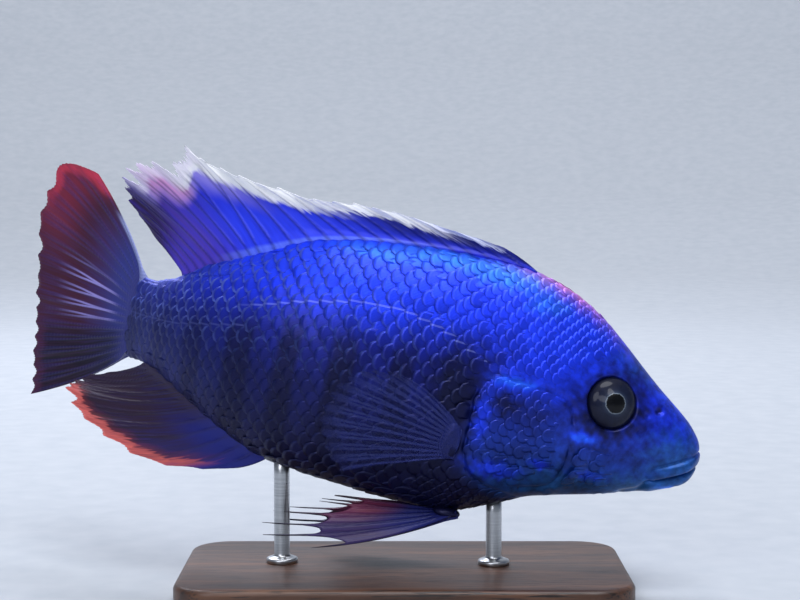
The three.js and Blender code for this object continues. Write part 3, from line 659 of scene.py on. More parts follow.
def wet_skin(node):
    """Wet skin over reflecting plates: fine grain, deep colour and a clear film."""
    place = node("TexCoord", out="Object")
    grain = node("TexNoise", {"Vector": place, "Scale": 1 / (1.2 * MM), "Detail": 4.0})
    cloud = node("TexNoise", {"Vector": place, "Scale": 1 / (3.5 * MM), "Detail": 3.0, "Distortion": 1.0})
    mottle = node("MapRange", (node("Math", (grain, cloud), operation="ADD"), 0.7, 1.3, 0.55, 1.5))
    paint = {0: 1.0, 6: fish_colour(node), 7: mottle}
    return {
        "Base Color": node("Mix", paint, out=2, data_type="RGBA", blend_type="MULTIPLY"),
        "Normal": node("Bump", {"Strength": 0.35, "Distance": 0.12 * MM, "Height": grain}),
        "Metallic": 0.6, "Roughness": 0.45, "Specular IOR Level": 0.3, "Coat Weight": 0.15,
        "Coat Roughness": 0.2}


skin_finish = finish_of("wet_fish_skin", wet_skin)
dress(skin, "scaled_skin", skin_finish,
      "head", "lower_jaw", "gill_cover_left", "gill_cover_right", "trunk", "tail_stem")

# %% [markdown]
# One scale
# A fish's scale is a thin round plate, rooted in the skin at its front and free at its rear, like a
# roof tile. This one is one unit long and wide, with a few dozen faces. Its side and underside are
# closed, so thousands of them still make sound solids. A stored vector gives each point's place on the
# scale, for the pale rim and for the map.

# %% Scale shape
SCALE_ROWS, SCALE_COLUMNS = 6, 7
SCALE_THICKNESS = 0.022  # share of the scale's length


def scale_shape():
    """Points and faces of one scale, with its length along x and its outer face up."""
    u = np.linspace(0, 1, SCALE_ROWS)[:, None]
    v = np.linspace(-1, 1, SCALE_COLUMNS)[None, :]
    x = -0.1 + (0.7 + 0.4 * np.sqrt(1 - v**2)) * u
    y = 0.5 * v * (0.8 + 0.2 * u)
    z = -0.035 + 0.085 * x + 0.02 * (1 - v**2) * (1 - 0.3 * u)
    top = np.stack([x, y, z], -1).reshape(-1, 3)
    numbers = np.arange(len(top)).reshape(SCALE_ROWS, SCALE_COLUMNS)
    edge = np.concatenate([numbers[0], numbers[1:, -1], numbers[-1, -2::-1], numbers[-2:0:-1, 0]])
    under = len(top) + np.arange(len(edge))
    skirt = np.stack([edge, np.roll(edge, -1), np.roll(under, -1), under], 1)
    points = np.vstack([top, top[edge] - [0, 0, SCALE_THICKNESS]])
    return points, [grid_faces(SCALE_ROWS, SCALE_COLUMNS)[:, ::-1], skirt, under[None, ::-1]]


scale_points, scale_faces = scale_shape()
scale_tile = make_piece("scale_tile", scale_points, scale_faces, {"on_scale": scale_points * [1, 1, 0]})

# %% [markdown]
# Where scales grow
# Scales stand in slanting rows, so each covers the gap between two in front of it. The rows run beside
# the lateral line, a curve that follows the back. Along that curve and across it, distances are
# measured on the skin itself, so scales keep their size as the body narrows. They are smaller on the
# nape, the breast and the cheek, and absent from the snout.

# %% Distances on the skin
LATERAL_LINE = [
    (14, 4), (30, 7), (42, 8.5), (50, 12.5), (58, 14.6), (66, 14.4), (75, 12.3), (85, 9.3), (100, 5.6),
    (119, 3.9)]
half_ring = SIDES // 2
half = straight[:, :half_ring + 1]
arc = np.cumsum(np.linalg.norm(np.diff(half, axis=1, prepend=half[:, :1]), axis=2), axis=1)
line_z = np.interp(ring_s, *np.array(LATERAL_LINE).T)
line_arc = np.array([np.interp(-line_z[r], -half[r, :, 2], arc[r]) for r in range(rings)])


def nearest_ring(s):
    """The number of the ring at or just behind a distance from the snout."""
    return np.clip(np.searchsorted(ring_s, s), 0, rings - 1)


def ring_place(s, over_line):
    """The place round the ring, counted from the top, of a distance over the lateral line on the skin."""
    places = np.full(len(s), np.nan)
    for n, r in enumerate(nearest_ring(s)):
        wanted = line_arc[r] - over_line[n]
        if 0 < wanted < arc[r, -1]:
            places[n] = np.interp(wanted, arc[r], np.arange(half_ring + 1))
    return places


def ridge_gap(s, place):
    """How far a place on the skin lies from the ridge of the back or the keel, whichever is nearer."""
    r = nearest_ring(s)
    down = arc[r, np.round(place).astype(int)]
    return np.minimum(down, arc[r, -1] - down)


print("half way round the deepest ring:", round(float(arc[:, -1].max()), 1), "mm")

# %% Rows of scales
SCALE_STEP = 2.5  # from one scale to the next along a row
ROW_STEP = 2.1  # from one row to the next
SCALE_LENGTH, SCALE_WIDTH = 1.62 * SCALE_STEP, 1.8 * ROW_STEP
FIRST_SCALE, LAST_SCALE, COUNTING_STEP = 12, 117.2, 0.25
# Sizes and lifts: distances from the snout, and the values there
FLANK_SIZES = ([14, 26, 40, 52, 90, 119], [0.5, 0.58, 0.78, 1.0, 0.97, 0.8])
FLANK_LIFTS = ([20, 40, 58], [0.6, 0.8, 1.0])
PECTORAL_CLEARING = {"s": 45.5, "z": -7, "long": 3.8, "high": 4.2}  # bare skin round the fin's root
BREAST_SIZE, BREAST_LIFT = ([0], [0.62]), ([0], [0.8])
CHEEK_SIZE, CHEEK_LIFT = ([0], [0.72]), ([0], [0.62])


def rows_of_scales(sizes, lifts, wanted):
    """Roots of scales where wanted says so: distance from the snout, place round the ring, size, row
    and lift, one row of the array for each."""
    s_fine = np.arange(FIRST_SCALE, STANDARD_LENGTH + 1, COUNTING_STEP)
    phase = np.append(0, np.cumsum(COUNTING_STEP / (SCALE_STEP * np.interp(s_fine[:-1], *sizes))))
    found = []
    for row in range(-40, 40):
        s = np.interp(np.arange(1, int(phase[-1])) + (row % 2) / 2, phase, s_fine)
        place = ring_place(s, row * ROW_STEP * np.interp(s, *sizes))
        s, place = s[~np.isnan(place)], place[~np.isnan(place)]
        size = np.interp(s, *sizes)
        z = half[nearest_ring(s), np.round(place).astype(int), 2]
        root = np.stack([s, place, size, np.full(len(s), row), np.interp(s, *lifts) * size], 1)
        found.append(root[wanted(s, z, place)])
    return np.vstack(found)


def on_breast(s, z, place):
    """Below the head, behind the gill cover."""
    return (s > 29) & (s < 50) & (z < -11.5 - 0.12 * (s - 29)) & (behind_gills(s, z) > 0.3)


def on_flank(s, z, place):
    """Nape and trunk, clear of the eye, the pectoral fin's root and the midline fins."""
    eye_off = np.hypot(s - EYE["s"], z - EYE["z"])
    nape = (z > 8.5 - 0.1 * (s - 25)) & (s > 19) & (eye_off > 8.0)
    trunk = (behind_gills(s, z) > 0.3) & ~on_breast(s, z, place)
    bare = PECTORAL_CLEARING
    clear_of_pectoral = np.hypot((s - bare["s"]) / bare["long"], (z - bare["z"]) / bare["high"]) > 1
    clear_of_fins = ridge_gap(s, place) > np.where(s < 36, 0.15, 0.9)
    return (nape | trunk) & clear_of_pectoral & clear_of_fins & (s < LAST_SCALE)


def on_cheek(s, z, place):
    """On the gill cover, inside its edges, and on the cheek below the eye."""
    plate = [(26.8, 3.2), *COVER_FRONT[2::-1], (41.5, 4.6), (42.6, -3), (42, -8.4), (33, -12), (26.6, -7)]
    cheek = [(19, -3.4), (24, -2.5), (22, -1.0), (22.0, -6), (23.4, -9.6), (16.5, -9.6), (14.5, -6)]
    clear_of_edges = (distance_to(cover_line, s, z) > 0.9) & (behind_gills(s, z) < -1.6)
    return (inside(plate, s, z) & clear_of_edges) | inside(cheek, s, z)


flank = rows_of_scales(FLANK_SIZES, FLANK_LIFTS, on_flank)
breast = rows_of_scales(BREAST_SIZE, BREAST_LIFT, on_breast)
cheek = rows_of_scales(CHEEK_SIZE, CHEEK_LIFT, on_cheek)
roots = np.vstack([flank, breast, cheek])
print("scales a side:", len(flank), "flank,", len(breast), "breast,", len(cheek), "cheek")

# %% [markdown]
# Roots as points with directions
# Each root becomes a loose point on the posed skin. It stores where out and rear are there, the
# scale's size, and its place on a map which is the skin unrolled. Left and right sides are separate
# pieces, so that neither grows too heavy.

# %% Root points
MAP_LENGTH = 125.0  # millimetres of fish along the whole map
MAP_MARGIN = 0.02
skin_out = normals_of(posed_skin)
skin_rear = np.gradient(posed_skin, axis=0)
skin_rear /= np.linalg.norm(skin_rear, axis=-1, keepdims=True)


def on_grid(grid, s, place):
    """A value between the points of a grid on the skin."""
    r = np.interp(s, ring_s, np.arange(rings))
    r0, j0 = np.minimum(r.astype(int), rings - 2), np.floor(place).astype(int)
    fr, fj = (r - r0)[:, None], (place - j0)[:, None]
    near, far = (grid[row, j0 % SIDES] * (1 - fj) + grid[row, (j0 + 1) % SIDES] * fj for row in (r0, r0 + 1))
    return near * (1 - fr) + far * fr


def root_points(name, side):
    """One side's roots, as an object of loose points that carry what the tree needs."""
    s, place, size, row, lift = roots.T
    around = place if side > 0 else SIDES - place
    tube = ((row == 0) & (s > 42) & (s < 88)) | ((row == -2) & (s > 84))
    tube &= np.arange(len(s)) < len(flank)
    low = MAP_MARGIN if side < 0 else 0.5 + MAP_MARGIN
    map_v = low + (0.5 - 2 * MAP_MARGIN) * place / half_ring
    narrow = 0.55 + 0.45 * ramp(ridge_gap(s, place), 0.3, 2.5)
    size_here = np.stack([SCALE_LENGTH * size, SCALE_WIDTH * size * narrow, SCALE_LENGTH * lift * narrow], 1)
    return make_piece(name, on_grid(posed_skin, s, around), [], {
        "out": on_grid(skin_out, s, around),
        "rear": on_grid(skin_rear, s, around),
        "size": size_here * MM,
        "root_place": np.stack([s, place, size], 1),
        "map_place": np.stack([s / MAP_LENGTH, map_v, 0 * s], 1),
        "tube": tube * np.where(s > 84, 0.4, 1.0),
        # boldness sets how strong the painted shade at each scale's root is
        "boldness": np.clip(lift, 0, 1)})


# %% [markdown]
# Setting the scales with Geometry Nodes
# The tree puts the tile on every root, turned so that its length runs to the rear and its face looks
# out. A random tilt and a random tone, both from a fixed seed, keep the coat from looking stamped.
# The instances are then made real, and each one gets its own small patch of the map.

# %% Scale coat tree
TREE_INPUTS = {
    "Roots": "Geometry", "Tile": "Object", "Tilt": "Float", "Patch": "Float", "Seed": "Int",
    "Finish": "Material"}


def scale_tree():
    """The tree that sets one scale on every root."""
    tree = bpy.data.node_groups.new("set_scales", "GeometryNodeTree")
    node = functools.partial(add_node, tree)
    for name, kind in TREE_INPUTS.items():
        tree.interface.new_socket(name=name, in_out="INPUT", socket_type="NodeSocket" + kind)
    tree.interface.new_socket(name="Coat", in_out="OUTPUT", socket_type="NodeSocketGeometry")
    given = node("NodeGroupInput", out=None)
    out, rear, size, on_scale, map_place = (
        node("GeometryNodeInputNamedAttribute", {"Name": name}, data_type="FLOAT_VECTOR")
        for name in ("out", "rear", "size", "on_scale", "map_place"))
    facing = node("FunctionNodeAxesToRotation", (out, rear), primary_axis="Z", secondary_axis="X")
    lower = node("Math", (given["Tilt"], -1.0), operation="MULTIPLY")
    tilt = node("FunctionNodeRandomValue", {2: lower, 3: given["Tilt"], "Seed": given["Seed"]}, out=1)
    tilt = node("FunctionNodeEulerToRotation", (node("CombineXYZ", (tilt, tilt)),))
    turned = node("FunctionNodeRotateRotation", (facing, tilt), rotation_space="LOCAL")
    tile = node("GeometryNodeObjectInfo", {"Object": given["Tile"]}, out="Geometry")
    coat = node("GeometryNodeInstanceOnPoints", {
        "Points": given["Roots"], "Instance": tile, "Rotation": turned, "Scale": size})
    tone = node("FunctionNodeRandomValue", {"Seed": given["Seed"]}, out=1)
    coat = node("GeometryNodeStoreNamedAttribute", {0: coat, "Name": "tone", "Value": tone},
                domain="INSTANCE")
    coat = node("GeometryNodeRealizeInstances", (coat,))
    patch = node("VectorMath", (on_scale, given["Patch"], map_place), operation="MULTIPLY_ADD")
    coat = node("GeometryNodeStoreNamedAttribute", {0: coat, "Name": "OFBake", "Value": patch},
               data_type="FLOAT2", domain="CORNER")
    coat = node("GeometryNodeSetMaterial", {0: coat, "Material": given["Finish"]})
    node("NodeGroupOutput", (coat,), out=None)
    return tree


set_scales = scale_tree()
print("tree:", set_scales.name, "with", len(set_scales.nodes), "nodes")

# %% [markdown]
# The look of a scale
# Each scale takes the skin's colour at its root, a little lighter or darker than its neighbour. Its
# front, where it slides under the scale ahead, is darkened as painted shade, more on scales that stand
# higher. Its free edge is paler, partly its own pale rim and partly a painted highlight that is
# strongest on the upper flank, and this draws the fine upright dashes on the rear half of the fish.
# Scales on the lateral line carry a pale tube. Fine ribs fan out over each scale and are only a tenth
# of a millimetre apart, so they are drawn three times as coarse to show at all.

# %% Scale finish
SCALE_RIBS = 13  # over the width of one scale
TUBE_SHARE = 0.28


def wet_scales(node):
    """Bony plates under wet skin: the skin's colours, painted shade at the root and a pale free edge that is
    partly a painted highlight.
    """
    tone, boldness, along, height, has_tube = (
        node("Attribute", out="Fac", attribute_name=name)
        for name in ("tone", "boldness", "along", "height", "tube"))
    on_scale = node("Attribute", out="Vector", attribute_name="on_scale")
    u, v, _ = node("SeparateXYZ", (on_scale,), out=None)
    side = node("Math", (v, v), operation="MULTIPLY")
    from_rim = node("Math", (side, 1.35, u), operation="MULTIPLY_ADD")
    place = node("TexCoord", out="Object")
    rim_noise = node("TexNoise", {"Vector": place, "Scale": 1 / (1.6 * MM)})
    # The pale rim (#7088f4) is partly the scale's own pale edge and partly a painted highlight, kept to the
    # upper flank by lit and broken up by noise
    tone, rear, lit, rim_breakup = (node("MapRange", values) for values in (
        (tone, 0, 1, 0.84, 1.16), (along, 45, 95, 0.1, 0.7), (height, 0.4, 0.75, 0.08),
        (rim_noise, 0.4, 0.62, 0.15)))
    root, rim, middle = (node("MapRange", values, **SMOOTH) for values in (
        (u, 0.6, 0.3, 0, 0.3), (from_rim, 0.82, 0.94), (side, 0.004, 0.0005)))
    tube = node("Math", (middle, has_tube), operation="MULTIPLY")
    paint = {0: 1.0, 6: fish_colour(node), 7: tone}
    paint = node("Mix", paint, out=2, data_type="RGBA", blend_type="MULTIPLY")
    ribs = node("Math", (v, 2 * math.pi * SCALE_RIBS), operation="MULTIPLY")
    ribs = node("Math", (ribs,), operation="SINE")
    ribs = node("Math", (tube, 4 * TUBE_SHARE, ribs), operation="MULTIPLY_ADD")
    return {
        "Base Color": layered(node, paint, [
            # 0a0f3c is painted shade at each scale's root, under the scale in front, stronger on scales that
            # stand higher
            ("#0a0f3c", root, boldness), ("#7088f4", rim, rear, lit, rim_breakup), ("#9aa8ff", tube, TUBE_SHARE)]),
        "Normal": node("Bump", {"Strength": 0.2, "Distance": 0.05 * MM, "Height": ribs}),
        "Metallic": 0.6, "Roughness": 0.42, "Specular IOR Level": 0.3, "Coat Weight": 0.12,
        "Coat Roughness": 0.2}


scale_finish = finish_of("wet_fish_scales", wet_scales)

# %% [markdown]
# Two coats of scales
# The markings are worked out again for every point of every scale, at the place where that point lies
# over the skin. A scale on the edge of a dark bar is then dark on one side only, as on a real fish.

# %% Coats of scales
SCALE_TILT = math.radians(2.0)
MAP_PATCH = 0.003  # how much of the map one scale takes


def grown(tree, host, inputs, name):
    """The mesh that a tree makes on a host object, as a plain object. The host is removed."""
    modifier = host.modifiers.new("grow", "NODES")
    modifier.node_group = tree
    for item in tree.interface.items_tree:
        if item.item_type == "SOCKET" and item.in_out == "INPUT" and item.name in inputs:
            modifier[item.identifier] = inputs[item.name]
    bpy.context.view_layer.update()
    mesh = bpy.data.meshes.new_from_object(host.evaluated_get(bpy.context.evaluated_depsgraph_get()))
    mesh.name = name
    mesh.shade_smooth()
    host.modifiers.remove(modifier)
    bpy.data.objects.remove(host)
    print(f"{name}: {len(mesh.polygons)} faces, maps {[layer.name for layer in mesh.uv_layers]}")
    return new_object(name, mesh)


def mark_scales(mesh, side):
    """Stores the skin's markings on every point of one side's scales."""
    places = {}
    for name in ("root_place", "on_scale"):
        places[name] = np.empty(3 * len(mesh.vertices), np.float32)
        mesh.attributes[name].data.foreach_get("vector", places[name])
    s, place, size = places["root_place"].reshape(-1, 3).T.astype(float)
    x, y, _ = places["on_scale"].reshape(-1, 3).T.astype(float)
    spacing = np.gradient(arc, axis=1)[nearest_ring(s), np.round(place).astype(int)]
    down = -side * y * SCALE_WIDTH * size / spacing
    at_s = np.clip(s + x * SCALE_LENGTH * size, ring_s[0], ring_s[-1])
    at_y, at_z = on_grid(straight, at_s, np.clip(place + down, 0, half_ring - 0.01))[:, 1:].T
    store(mesh, markings(at_s, at_y, at_z))


for name, side, seed in (("scales_left", 1, 5), ("scales_right", -1, 3)):
    inputs = {"Tile": scale_tile, "Finish": scale_finish}
    inputs |= {"Tilt": SCALE_TILT, "Patch": MAP_PATCH, "Seed": seed}
    coat = grown(set_scales, root_points(f"{name}_roots", side), inputs, name)
    mark_scales(coat.data, side)
    dress(coat, "scaled_skin", None)
bpy.data.objects.remove(scale_tile)

# %% [markdown]
# Fins
# A fin is a web of skin stretched over rays. Hard spines are single rods. Soft rays split into two and
# then four branches towards their tips. All of that is one closed sheet here: a fine grid between the
# rays' lines, given a thickness that swells into a ridge over each ray and branch. Its free edge is
# scalloped or frayed by shortening the grid's columns between the tips.

# %% Fin sheet
ACROSS_WEB = 16  # columns from one ray to the next
WEB = 0.11  # half the thickness of the web between rays
RAY_WIDTH = (0.34, 0.14)  # half a ray's width at its root and its tip


def branch_places(t):
    """Where a soft ray's branches run beside its own line, in shares of the way to the next ray."""
    first, second = 0.17 * ramp(t, 0.35, 0.7), 0.075 * ramp(t, 0.62, 0.95)
    return [first + second, first - second, -first + second, -first - second]


def ray_fin(rays, soft_from=0, rows=44, ridge=(0.24, 0.07), flesh=0.7, sink=0.3, edge=None, ripple=0.35):
    """A fin from its rays, each a function from 0 at its root to 1 at its tip, in bent millimetres.
    ridge is a ray's height over the web at its root and its tip, and flesh how thick the sheet is at
    the root. sink is how far the sheet runs on below its root, as a share of a ray. edge gives how
    far the web reaches between two rays, and ripple how many millimetres it waves at its edge.
    Returns points, faces and the values stored on them."""
    t_rows = np.linspace(-sink, 1, rows)
    columns, shares, reaches = [], [], []
    for i in range(len(rays)):
        for k in range(ACROSS_WEB if i + 1 < len(rays) else 1):
            share = k / ACROSS_WEB
            reach = edge(share, i) if share > 0 else 1.0
            t = np.where(t_rows > 0, t_rows * reach, t_rows)
            one, two = rays[i](t), rays[min(i + 1, len(rays) - 1)](t)
            columns.append(one * (1 - share) + two * share)
            shares.append(i + share)
            reaches.append(reach)
    middle, c, reach = np.array(columns), np.array(shares)[:, None], np.array(reaches)[:, None]
    t = np.maximum(t_rows, 0) * reach
    along = np.gradient(middle, axis=1)
    along /= np.linalg.norm(along, axis=2, keepdims=True)
    normal = np.cross(np.gradient(middle, axis=0) * ACROSS_WEB, along)
    spacing = np.linalg.norm(normal, axis=2)
    normal /= np.maximum(spacing[..., None], 1e-9)
    wave = np.sin(2 * np.pi * c / 3.7 + 2.2 * t) + 0.5 * np.sin(2 * np.pi * c / 1.9 - 3 * t)
    middle = middle + normal * (ripple * t**1.5 * wave)[..., None]
    low, rib = np.floor(c), np.zeros(t.shape)
    for ray in (0, 1):
        soft = (low + ray >= soft_from) * 1.0
        for place in branch_places(t):
            off = np.abs(c - low - ray - place * soft) * spacing
            rib = np.maximum(rib, bump(off / (RAY_WIDTH[0] + (RAY_WIDTH[1] - RAY_WIDTH[0]) * t)))
    swell = (flesh - WEB) * np.clip(1 - 5 * t, 0, 1) ** 2
    thick = WEB + np.maximum(rib * (ridge[0] + (ridge[1] - ridge[0]) * t), swell)
    thick *= 1 - 0.45 * ramp(t / reach, 0.9, 1.0)
    points = np.stack([middle + normal * thick[..., None], middle - normal * thick[..., None]])
    quads, n = grid_faces(len(middle), rows), t.size
    numbers = np.arange(n).reshape(t.shape)
    rim = np.concatenate([numbers[:, 0], numbers[-1, 1:], numbers[-2::-1, -1], numbers[0, -2:0:-1]])
    around = np.stack([rim, np.roll(rim, -1), np.roll(rim, -1) + n, rim + n], 1)
    faces = [np.vstack([quads, quads[:, ::-1] + n, around[:, ::-1]])]
    to_edge = np.array([np.linalg.norm(middle[:, -1:] - column, axis=2).min(0) for column in middle])
    marks = {"ray": c / (len(rays) - 1) + 0 * t, "reach": t, "rib": rib, "margin": to_edge}
    return points.reshape(-1, 3), faces, {name: np.tile(values.ravel(), 2) for name, values in marks.items()}


def show_fin(name, sheet, finish, *replaced):
    """Makes a fin's mesh, poses it, and hides the part of the frame that it stands for."""
    points, faces, marks = sheet
    fin = make_piece(name, tipped(points), faces, marks)
    dress(fin, "fin", finish, *replaced)
    return fin


# %% [markdown]
# Rays on the midline
# The dorsal, anal and tail fins grow on the midline, so their rays leave the bent body along its own
# heading. How far back and how far up each ray of the dorsal fin reaches follows two curves along the
# body: low and folded in front, long behind, where the soft rays end in streamers.

# %% Rays of the midline fins
ROOT_GAP = 0.3
DORSAL_SPINES = np.linspace(37.5, 87, 16)
DORSAL_SOFT = np.linspace(90, 106.8, 10)
ANAL_RAYS = np.linspace(80, 113, 13)
TAIL_RAYS = np.linspace(-1, 1, 16)  # from the lowest to the highest
dorsal_runs = smooth_curve(1, [
    (0.315, 7), (0.395, 10), (0.52, 12.5), (0.655, 15), (0.735, 18.5), (0.757, 20.7), (0.773, 21.3),
    (0.79, 25.5), (0.82, 28), (0.85, 25.5), (0.875, 19.5), (0.9, 9)])
dorsal_rises = smooth_curve(1, [
    (0.315, 3), (0.395, 3.6), (0.455, 4.6), (0.52, 4.9), (0.59, 5.2), (0.655, 7.8), (0.735, 13.2),
    (0.757, 17), (0.773, 13.6), (0.79, 14), (0.82, 13.2), (0.85, 10.6), (0.875, 9), (0.9, 5)])
ANAL_REACH = [
    (0.67, 6, 3.4), (0.7, 10.5, 6.3), (0.73, 17.6, 8.8), (0.765, 25, 8.3), (0.8, 29.5, 7), (0.825, 31, 6),
    (0.85, 29.5, 5.6), (0.875, 27, 5.8), (0.9, 23.5, 6.2), (0.925, 18.5, 6), (0.95, 12, 4.4)]
anal_runs, anal_drops = (smooth_curve(1, [(row[0], row[k]) for row in ANAL_REACH]) for k in (1, 2))


def midline_ray(s, height, runs, rises, bow):
    """A ray that leaves the body at s and runs straight along the heading there, with a slight bow."""
    root, turn, length = bent(s, 0, height), turn_at(s), math.hypot(runs, rises)
    aft, up = np.array([-math.cos(turn), math.sin(turn), 0]), np.array([0, 0, 1])

    def ray(t):
        bulge = 4 * bow * t * (1 - t)
        return root + np.outer(runs * t - bulge * rises, aft) + np.outer(rises * t + bulge * runs, up)

    return ray


# The tail fin's upper and lower half: how many degrees they fan out, and how much their rays curl
TAIL_UPPER, TAIL_LOWER = (42, 0.08), (31, 0.15)


def tail_ray(share):
    """A ray of the tail fin, from -1 for the lowest to 1 for the highest."""
    widest_fan, curl = TAIL_UPPER if share > 0 else TAIL_LOWER
    upper = 0.375 * abs(share) ** 1.2 - 0.478 * share**6
    lower = 0.035 * math.sin(0.95 * math.pi * share)
    length = TAIL_FIN_LENGTH * (1 + (upper if share > 0 else lower))
    top, bottom = back(STANDARD_LENGTH) - 0.5, belly(STANDARD_LENGTH) + 0.5
    height = bottom + (top - bottom) * (share + 1) / 2

    def ray(t):
        opened = math.radians(widest_fan * share) * (1 + curl * (0.5 - t))
        aft, up = length * t * np.cos(opened), length * t * np.sin(opened)
        return bent(STANDARD_LENGTH + ROOT_GAP + aft, 0, height + up)

    return ray


dorsal_rays = [midline_ray(s, back(s) + ROOT_GAP, dorsal_runs(s), dorsal_rises(s), 0.03)
               for s in (*DORSAL_SPINES, *DORSAL_SOFT)]
anal_rays = [midline_ray(s, belly(s) - ROOT_GAP, anal_runs(s), -anal_drops(s), -0.05) for s in ANAL_RAYS]
tail_rays = [tail_ray(share) for share in TAIL_RAYS]
print("rays:", len(dorsal_rays), "dorsal,", len(anal_rays), "anal,", len(tail_rays), "tail")

# %% [markdown]
# Free edges
# Behind each spine the web ends in a small pointed flap, so the front of the dorsal fin looks saw
# toothed. Between soft rays the edge is only slightly notched, and frayed where branches end.

# %% How far the web reaches between rays
STREAMERS_END, CORNER_STARTS = 22, 12  # numbers of rays
FLAP = 0.035  # height of the flap behind a spine, and depth of the scallop, as shares of a spine


def spiny_edge(share, i):
    """A small flap behind the spine and a scallop up to the next one."""
    return 1 + FLAP * bump((share - 0.2) / 0.14) - FLAP * math.sin(math.pi * share) ** 2


def frayed_edge(depth, fray):
    """An edge that is notched to a depth between rays and frayed where branches end."""
    def edge(share, i):
        dip, branch = math.sin(math.pi * share), math.cos(12 * math.pi * share + 1.7 * i)
        return 1 - depth * (1 + 0.5 * math.sin(2.3 * i)) * dip**1.3 + fray * branch * dip**0.5
    return edge


soft_edge, streamer_edge, notched_edge, paired_edge = (
    frayed_edge(*values) for values in ((0.05, 0.008), (0.12, 0.035), (0.022, 0.004), (0.04, 0.004)))


def dorsal_edge(share, i):
    """Spines in front, then streamers, then plain soft rays."""
    kind = spiny_edge if i < len(DORSAL_SPINES) else streamer_edge if i < STREAMERS_END else soft_edge
    return kind(share, i)


def tail_edge(share, i):
    """Notched, and bulging between the topmost rays, where the corner is rounded."""
    return notched_edge(share, i) + (0.045 * math.sin(math.pi * share) if i > CORNER_STARTS else 0)


print("web between two spines:", [round(spiny_edge(k / 8, 0), 2) for k in range(1, 8)])

# %% [markdown]
# Fin colours
# Fins are clear skin with colour cells of their own. Each fin mixes a ground colour, a colour for its
# outer part, darker or paler rays, and a bright band along the free edge. The band is measured in
# millimetres from the edge, so it keeps its width over long and short rays alike.

# %% Fin skin, and finishes of the paired fins
JOINT_SPACING = 0.9  # millimetres from one joint of a soft ray to the next


def fin_skin(node, ground, layers, rib_colour, rib_share=0.5, uneven=3.0, alpha=1.0):
    """A fin's web. A layer is a colour, how strong it is at most, and the steps that multiply into its
    share: a stored value, where the step starts and where it ends. uneven is how many millimetres the
    bands along the free edge waver."""
    ray, reach, rib, margin = (
        node("Attribute", out="Fac", attribute_name=name) for name in ("ray", "reach", "rib", "margin"))
    stretched = node("Mapping", {0: node("CombineXYZ", (ray, reach)), 3: (90.0, 3.0, 1.0)})
    streak = node("TexNoise", {"Vector": stretched, "Scale": 1.0, "Detail": 3.0})
    band = node("Math", (streak, uneven, margin), operation="MULTIPLY_ADD")
    band = node("Math", (band, uneven / 2), operation="SUBTRACT")
    stored = {"ray": ray, "reach": reach, "rib": rib, "margin": band}
    paint = colour(ground)
    for code, most, steps in layers:
        shares = [node("MapRange", (streak, 0.35, 0.6, 0.65 * most, most))]
        for name, start, end in steps:
            shares.append(node("MapRange", (stored[name], start, end), **SMOOTH))
        paint = layered(node, paint, [(code, *shares)])
    inner = node("MapRange", (band, -0.5, 3.0), **SMOOTH)
    joints = node("Math", (margin, 2 * math.pi / JOINT_SPACING), operation="MULTIPLY")
    joints = node("Math", (joints,), operation="SINE")
    joints = node("Math", (joints, rib), operation="MULTIPLY")
    return {
        "Base Color": layered(node, paint, [(rib_colour, rib, rib_share, inner)]),
        "Normal": node("Bump", {"Strength": 0.4, "Distance": 0.06 * MM, "Height": joints}),
        "Metallic": 0.05, "Roughness": 0.45, "Specular IOR Level": 0.25, "Coat Weight": 0.1,
        "Coat Roughness": 0.2, "Alpha": alpha}


pelvic_finish = finish_of("pelvic_fin_web", fin_skin, "#232a72", [
    ("#3c2a52", 0.9, [("reach", 0.2, 0.5)]),
    ("#742c46", 0.95, [("ray", 0.35, 0.75), ("reach", 0.26, 0.56)]),
    ("#171426", 0.95, [("reach", 0.72, 0.8)])], rib_colour="#16183f", rib_share=0.4)
pectoral_finish = finish_of("pectoral_fin_web", fin_skin, "#2e3a86", [
    ("#20275a", 0.6, [("reach", 0.4, 0.9)]),
    ("#6472c8", 0.9, [("ray", 0.05, 0.0), ("reach", 0.9, 0.6)])],
    alpha=0.07, rib_colour="#4a54a8", rib_share=0.6)
pectoral_ray_finish = finish_of("pectoral_fin_rays", fin_skin, "#2a3488", [
    ("#141a48", 0.8, [("reach", 0.3, 0.9)])], alpha=0.28, rib_colour="#4654b0")

# %% Finishes of the midline fins
dorsal_finish = finish_of("dorsal_fin_web", fin_skin, "#1a2ad0", [
    ("#2a44ff", 0.85, [("reach", 0.75, 0.2), ("ray", 0.15, 0.5)]),
    ("#6f8cff", 0.6, [("reach", 0.07, 0.03), ("ray", 0.15, 0.4), ("ray", 0.85, 0.75)]),
    ("#0e1454", 0.85, [("ray", 0.45, 0.2), ("reach", 0.0, 0.35)]),
    ("#56389e", 0.85, [("ray", 0.64, 0.84)]),
    ("#2b1a38", 0.92, [("ray", 0.78, 0.88), ("reach", 0.2, 0.7)]),
    ("#a99cf0", 0.8, [("ray", 0.52, 0.62), ("ray", 0.88, 0.8), ("margin", 6.0, 2.5)]),
    ("#e79ccb", 0.8, [("ray", 0.67, 0.72), ("ray", 0.84, 0.78), ("margin", 6.0, 2.0)]),
    ("#dfe4ff", 0.95, [("ray", 0.0, 0.06), ("ray", 0.4, 0.3), ("margin", 1.0, 0.6)]),
    ("#ffffff", 1.0, [("ray", 0.1, 0.24), ("ray", 0.76, 0.68), ("margin", 1.9, 1.3)]),
    ("#ffffff", 1.0, [("ray", 0.32, 0.46), ("ray", 0.76, 0.68), ("margin", 3.0, 2.0)]),
    ("#f4ecff", 0.85, [("ray", 0.6, 0.66), ("ray", 0.86, 0.82), ("margin", 2.4, 0.4)])],
    rib_colour="#0b1054", uneven=2.6)
